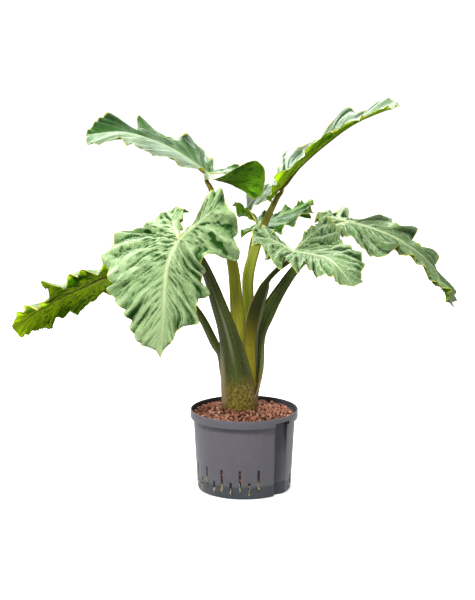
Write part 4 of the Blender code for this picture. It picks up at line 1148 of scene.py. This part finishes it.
def leaf_paints():
    """For each leaf, the paints of its upper side, its underside and, if it differs, the upper side of its
    second half. The colours: the skin, that towards the tip, the painted shade in its folds, and its veins
    and midrib. A whitish sheen on some upper sides and light shining through some undersides are painted
    too."""
    pale = leaf_paint("leaf_pale", (148, 180, 120), (170, 200, 138), (30, 84, 12), (198, 218, 160),
                      (196, 216, 156), rough=0.42, gloss=0.25, net_shown=0.45)
    netted = leaf_paint("leaf_netted", (114, 148, 88), (116, 152, 88), (20, 62, 8), (188, 204, 164),
                        (190, 208, 156), rough=0.42, gloss=0.25, net_shown=0.65)
    deep = leaf_paint("leaf_deep", (60, 116, 26), (96, 156, 30), (18, 60, 6), (128, 166, 90),
                      (128, 166, 90), rough=0.38, gloss=0.3)
    dull = leaf_paint("leaf_dull_tip", (66, 114, 40), (38, 92, 14), (22, 66, 8), (112, 150, 80),
                      (124, 156, 90), rough=0.38, gloss=0.7, dull_tip=1.0)
    # A painted sheen: a whitish skin for the upper sides that catch the gloss lamp's reflection.
    painted_sheen = leaf_paint("leaf_silver", (166, 190, 158), (144, 176, 130), (34, 82, 18), (176, 198, 162),
                        (172, 196, 152), rough=0.36, gloss=0.8)
    under = leaf_paint("leaf_under", (104, 162, 22), (104, 162, 22), (48, 98, 6), (146, 176, 56),
                       **UNDERSIDE)
    # Painted light: these two undersides are brighter and yellower, as if lit through the leaf from behind.
    clear = leaf_paint("leaf_under_clear", (190, 240, 20), (190, 240, 20), (110, 164, 8), (200, 216, 60),
                       **UNDERSIDE)
    lit_through_more = leaf_paint("leaf_under_bright", (206, 252, 14), (206, 252, 14), (60, 112, 0), (200, 216, 56),
                        mottle=1.3, **UNDERSIDE)
    return dict(a=(painted_sheen, under, dull), b=(pale, under), c=(netted, lit_through_more), d=(painted_sheen, clear),
                e=(netted, under), f=(netted, under), g=(deep, under))


def make_blades():
    sides = leaf_paints()
    for key, leaf in LEAVES.items():
        made = blade_mesh("leaf_" + key, Blade(**leaf), sides[key])
        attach(made, "root")
        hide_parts("blade_" + key)


make_blades()


# Seven leaf stalks, one to each blade, firm and waxy. Each widens downwards into a sheath that clasps
# the younger stalks inside it, dark olive above and yellow, streaked and mottled at its foot.
STALK_SIDES = 40
STALK_STEPS = 8
SHEATH_WRAP = 0.060
STALK_HOLLOW = 1.6
SHEATH_TURNS = (0.20, 0.34)       # heights between which a sheath turns from its foot's way to its own
STALK_END = (0.0042, 0.0036, 0.0)
STALK_SWELL = 1.15                # how much thicker than its end a stalk is just before it
STALK_APPROACH = 0.012
FOOT_STATIONS = ((0.172, 0.004), (0.198, 0.005))     # height, half depth
FOOT_HOLLOW = 0.4
FOOT_WRAP = 0.0405
UNDER_MIDRIB = ((8, 0.0040, 0.85), (22, 0.0032, 0.6), (40, 0.0020, 0.3))     # step, depth, share of size
# out: which way the stalk's back faces above. way: which way its foot lies from the stem's middle, with
# half its width there and how proud of the stem's skin it stands. look: its colours, how strong the painted
# highlight down its middle is, and where, across it, the inside of its open sheath starts to show and does
# fully.
# route: place, half width and half depth up the stalk, and how hollow it is. below: how far under
# the blade it ends, and turn: how far its end leans out of its way towards the blade's upper side.
# Lengths are in millimetres.
STALKS = {
    "a": dict(
        out=(0.0, -1.0), way=(-0.9, -0.3), half=30, proud=0.2,
        look=dict(light=(206, 208, 70), dark=(160, 158, 40), keel_highlight=0.1),
        route=[(-14, 4, 340, 15, 8.5, 0.2), (-17, 6, 420, 15.5, 8, 0.2), (-27, 8, 530, 12.5, 7.5, 0.1),
               (-53, 15, 619, 9, 7, 0.0), (-74, 22, 695, 6.5, 5.5, 0.0)]),
    "b": dict(
        out=(-0.2, -1.0), way=(-0.05, -1.0), half=52, proud=1.6,
        look=dict(light=(78, 92, 34), dark=(38, 46, 12), keel_highlight=0.7),
        route=[(-25, -30, 312, 33, 9.5, 0.4), (-40, -34, 384, 22.5, 10, 0.3), (-60, -40, 448, 18, 9, 0.2),
               (-78, -48, 503, 13.5, 8, 0.1), (-98, -62, 552, 10, 7.5, 0.0),
               (-122, -85, 586, 7.5, 6.5, 0.0)]),
    "c": dict(
        out=(-0.7, -1.0), way=(-1.0, 0.1), half=34, proud=0.8,
        look=dict(light=(100, 114, 44), dark=(66, 76, 24), keel_highlight=0.25),
        route=[(-51, 0, 305, 12.5, 7, 0.2), (-70, 2, 347, 12, 7, 0.1), (-109, 10, 419, 9.5, 6.5, 0.0),
               (-172, 40, 474, 7.5, 6, 0.0), (-223, 74, 496, 6, 5.5, 0.0)]),
    "d": dict(
        out=(0.3, 1.0), turn=0.0, below=4.5, way=(0.6, 0.8), half=30, proud=0,
        look=dict(light=(178, 194, 66), dark=(124, 140, 32), keel_highlight=0.15),
        route=[(4, 24, 335, 13, 8.5, 0.1), (9, 30, 429, 13.5, 8, 0.0), (11, 36, 506, 13.5, 7.5, 0.0),
               (41, 48, 602, 9.5, 6.5, 0.0), (73, 56, 671, 6.5, 5.5, 0.0)]),
    "e": dict(
        out=(0.6, -1.0), way=(0.9, -0.5), half=30, proud=0.4,
        look=dict(light=(98, 106, 34), dark=(58, 64, 16), keel_highlight=0.0, opens=(0.3, 0.22)),
        route=[(16, -10, 344, 18, 8.5, 0.6), (27, -24, 424, 20, 8.5, 0.8), (45, -34, 482, 14, 7, 0.6),
               (52, -38, 500, 7.5, 6, 0.1), (74, -55, 528, 6.5, 6, 0.0), (98, -78, 551, 6, 5.5, 0.0)]),
    "f": dict(
        out=(0.3, 1.0), way=(1.0, 0.35), half=40, proud=1.2,
        look=dict(light=(84, 104, 48), dark=(54, 68, 26), keel_highlight=0.2, opens=(0.66, 0.76)),
        route=[(34, 16, 339, 14, 8, 0.2), (55, 14, 415, 17.5, 8.5, 0.4), (89, 10, 477, 13, 8, 0.2),
               (126, 4, 529, 10.5, 7, 0.0), (185, 0, 587, 8, 6, 0.0)]),
    "g": dict(
        out=(0.0, 1.0), way=(-0.1, 1.0), half=40, proud=1,
        look=dict(light=(112, 130, 44), dark=(76, 92, 26), keel_highlight=0.15),
        route=[(4, 42, 331, 10, 7, 0.1), (7, 50, 415, 9, 6.5, 0.0), (11, 68, 508, 7.5, 6, 0.0),
               (20, 87, 568, 6, 5.5, 0.0)]),
}


# Heights between which a tone of the stalks begins and is whole.
KEEL_FROM, KEEL_TO = (0.28, 0.37), (0.52, 0.42)
DARK_FRECKLES_TO = (0.52, 0.36)
BROWN_TOP = (0.50, 0.64)
YELLOW_INSIDE = (0.44, 0.30)
FOOT_TONE = (0.285, 0.225)
GREEN_FOOT = (0.215, 0.19)
PALE_SIDE_FROM, PALE_SIDE_TO = (0.18, 0.22), (0.36, 0.28)
# Places across a stalk, from -1 to 1, of its keel and of the brown and the dry pale line at its edges.
KEEL_ACROSS = 0.05
KEEL_HALF = 0.20
BROWN_EDGE = (0.86, 0.95)
DRY_EDGE = (0.965, 0.992)
NEVER_OPEN = (2.0, 3.0)
# Tones that all the stalks share.
FRECKLE, DARK_FRECKLE = (150, 150, 70), (64, 56, 14)
# The keel's pale tone is a painted highlight.
KEEL_HIGHLIGHT_TONE, PALE_SIDE_TONE, BROWN_TONE = (140, 148, 118), (186, 172, 128), (92, 76, 26)
# The dark green inside a sheath is painted shade.
INSIDE_SHADE_GREEN, INSIDE_YELLOW, INSIDE_FRECKLE = (40, 50, 8), (158, 148, 40), (56, 40, 16)
FOOT_DARK, FOOT_LIGHT, FOOT_GREEN, FOOT_FRECKLE = (92, 78, 22), (172, 154, 74), (96, 104, 18), (58, 44, 18)
EDGE_BROWN, EDGE_DRY = (92, 66, 34), (190, 158, 130)


def stalk_paint(name, light, dark, keel_highlight, opens=NEVER_OPEN):
    """Streaks and freckles in two tones, a painted highlight on the keel, the sheath's inside with painted
    shade, its dry edges and its mottled foot.
    """
    paint = Paint(name, Specular_IOR_Level=0.14, Coat_Weight=0.04, Coat_Roughness=0.3)
    here = paint.place()
    across = paint.attribute("across")
    height = paint.part(here, 2)
    lines = paint.noise(paint.vector(across * 14.0, height * 7.0, 0.0), 1.0, 4.0, 0.6)
    broad = paint.noise(paint.vector(across * 2.2, height * 5.0, 0.0), 1.0, 2.0)
    freckles = paint.noise(paint.place((1, 1, 0.5)), 560.0, 3.0, 0.65)
    shade = paint.mix((lines * 0.4 + broad * 0.6).rise(0.36, 0.62), dark, light)
    shade = paint.mix(freckles.rise(0.52, 0.68) * 0.30, shade, FRECKLE)
    shade = paint.mix(freckles.rise(0.46, 0.34) * height.rise(*DARK_FRECKLES_TO) * 0.5, shade, DARK_FRECKLE)
    # A painted highlight down the keel.
    line = (across - KEEL_ACROSS).math("ABSOLUTE").rise(KEEL_HALF, 0.0)
    line = line * height.rise(*KEEL_FROM) * height.rise(*KEEL_TO)
    shade = paint.mix(line * keel_highlight, shade, KEEL_HIGHLIGHT_TONE)
    shade = paint.mix(height.rise(*BROWN_TOP) * 0.75, shade, BROWN_TONE)
    # The sheath's inside: dark green painted shade above, yellow lower down.
    shaded_inside = paint.mix(height.rise(*YELLOW_INSIDE), INSIDE_SHADE_GREEN, INSIDE_YELLOW)
    shaded_inside = paint.mix(freckles.rise(0.56, 0.62) * 0.6, shaded_inside, INSIDE_FRECKLE)
    shade = paint.mix(across.rise(*opens), shade, shaded_inside)
    low = (height + (broad - 0.5) * 0.06 + (lines - 0.5) * 0.03).rise(*FOOT_TONE)
    mottle = paint.noise(paint.place((1, 1, 0.5)), 210.0, 4.0, 0.7)
    foot = paint.mix((lines * 0.2 + mottle * 0.8).rise(0.38, 0.60), FOOT_DARK, FOOT_LIGHT)
    foot = paint.mix(height.rise(*GREEN_FOOT) * 0.5, foot, FOOT_GREEN)
    foot = paint.mix(freckles.rise(0.48, 0.58) * 0.85, foot, FOOT_FRECKLE)
    shade = paint.mix(low, shade, foot)
    pale_side = across.rise(-0.40, -0.75) * height.rise(*PALE_SIDE_TO) * height.rise(*PALE_SIDE_FROM)
    shade = paint.mix(pale_side * keel_highlight, shade, PALE_SIDE_TONE)
    edge = across.math("ABSOLUTE")
    shade = paint.mix(edge.rise(*BROWN_EDGE) * 0.6, shade, EDGE_BROWN)
    shade = paint.mix(edge.rise(*DRY_EDGE) * 0.75, shade, EDGE_DRY)
    rough = 0.40 + lines * 0.2 + across.rise(*opens) * 0.35
    return paint.finish(shade, rough, paint.bump(lines + freckles * 0.5, 0.0008))


def stalk_stations(blade, way, half, proud, route, turn, below):
    """Rows of place, half width, half depth, hollow and wrap from the foot to under the midrib."""
    rows = []
    for z, depth in FOOT_STATIONS:
        middle = np.array(STEM_CENTRE) + way * (FOOT_WRAP + proud / 1000 - depth)
        rows.append([*middle, z, half / 1000, depth, FOOT_HOLLOW, FOOT_WRAP])
    for *sizes, hollow in route:
        rows.append([*np.array(sizes) / 1000, hollow, SHEATH_WRAP])
    join, normal = blade.curve[0], blade.normal[0]
    heading = unit(unit(join - np.array(rows[-1][:3])) + turn * normal)
    size = np.array(STALK_END)
    under = join - normal * below / 1000
    rows.append([*(under - heading * STALK_APPROACH), *(size * [STALK_SWELL, STALK_SWELL, 1]), SHEATH_WRAP])
    rows.append([*(under + normal * below / 1000 * 0.4), *size, SHEATH_WRAP])
    for step_along, depth, scale in UNDER_MIDRIB:
        at = blade.curve[step_along] - blade.normal[step_along] * depth
        rows.append([*at, *(size * scale), SHEATH_WRAP])
    return smooth(rows, STALK_STEPS)


def make_stalk(key, blade, out, way, half, proud, look, route, turn=0.3, below=7.5):
    way = unit(np.array(way, float))
    stations = stalk_stations(blade, way, half, proud, route, turn, below)
    centres = stations[:, :3]
    tangent = unit(np.gradient(centres, axis=0))
    upper_way = unit(np.array([*out, 0.0], float))
    blend = step(centres[:, 2], *SHEATH_TURNS)[:, None]
    outward = square_to(np.array([*way, 0.0]) * (1 - blend) + upper_way * blend, tangent)
    sideways = np.cross(tangent, outward)
    round_it = np.arange(STALK_SIDES) * 2 * np.pi / STALK_SIDES
    rings = []
    for centre, o, a, (wide, deep, hollow, wrap) in zip(centres, outward, sideways, stations[:, 3:]):
        arc = wide * np.cos(round_it)
        lift = deep * np.sin(round_it)
        lift = np.where(lift < 0, lift * (1 - STALK_HOLLOW * hollow), lift)
        angle = arc / wrap
        x = (wrap + lift) * np.sin(angle)
        y = (wrap + lift) * np.cos(angle) - wrap
        rings.append(centre + x[:, None] * a + y[:, None] * o)
    stalk = lofted("stalk_" + key, rings, [stalk_paint("stalk_skin_" + key, **look)])
    across = np.tile(np.cos(round_it), len(rings))
    stalk.data.attributes.new("across", "FLOAT", "POINT").data.foreach_set("value", across)
    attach(stalk, "root")
    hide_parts("petiole_" + key)


for leaf_key, leaf in LEAVES.items():
    make_stalk(leaf_key, Blade(**leaf), **STALKS[leaf_key])
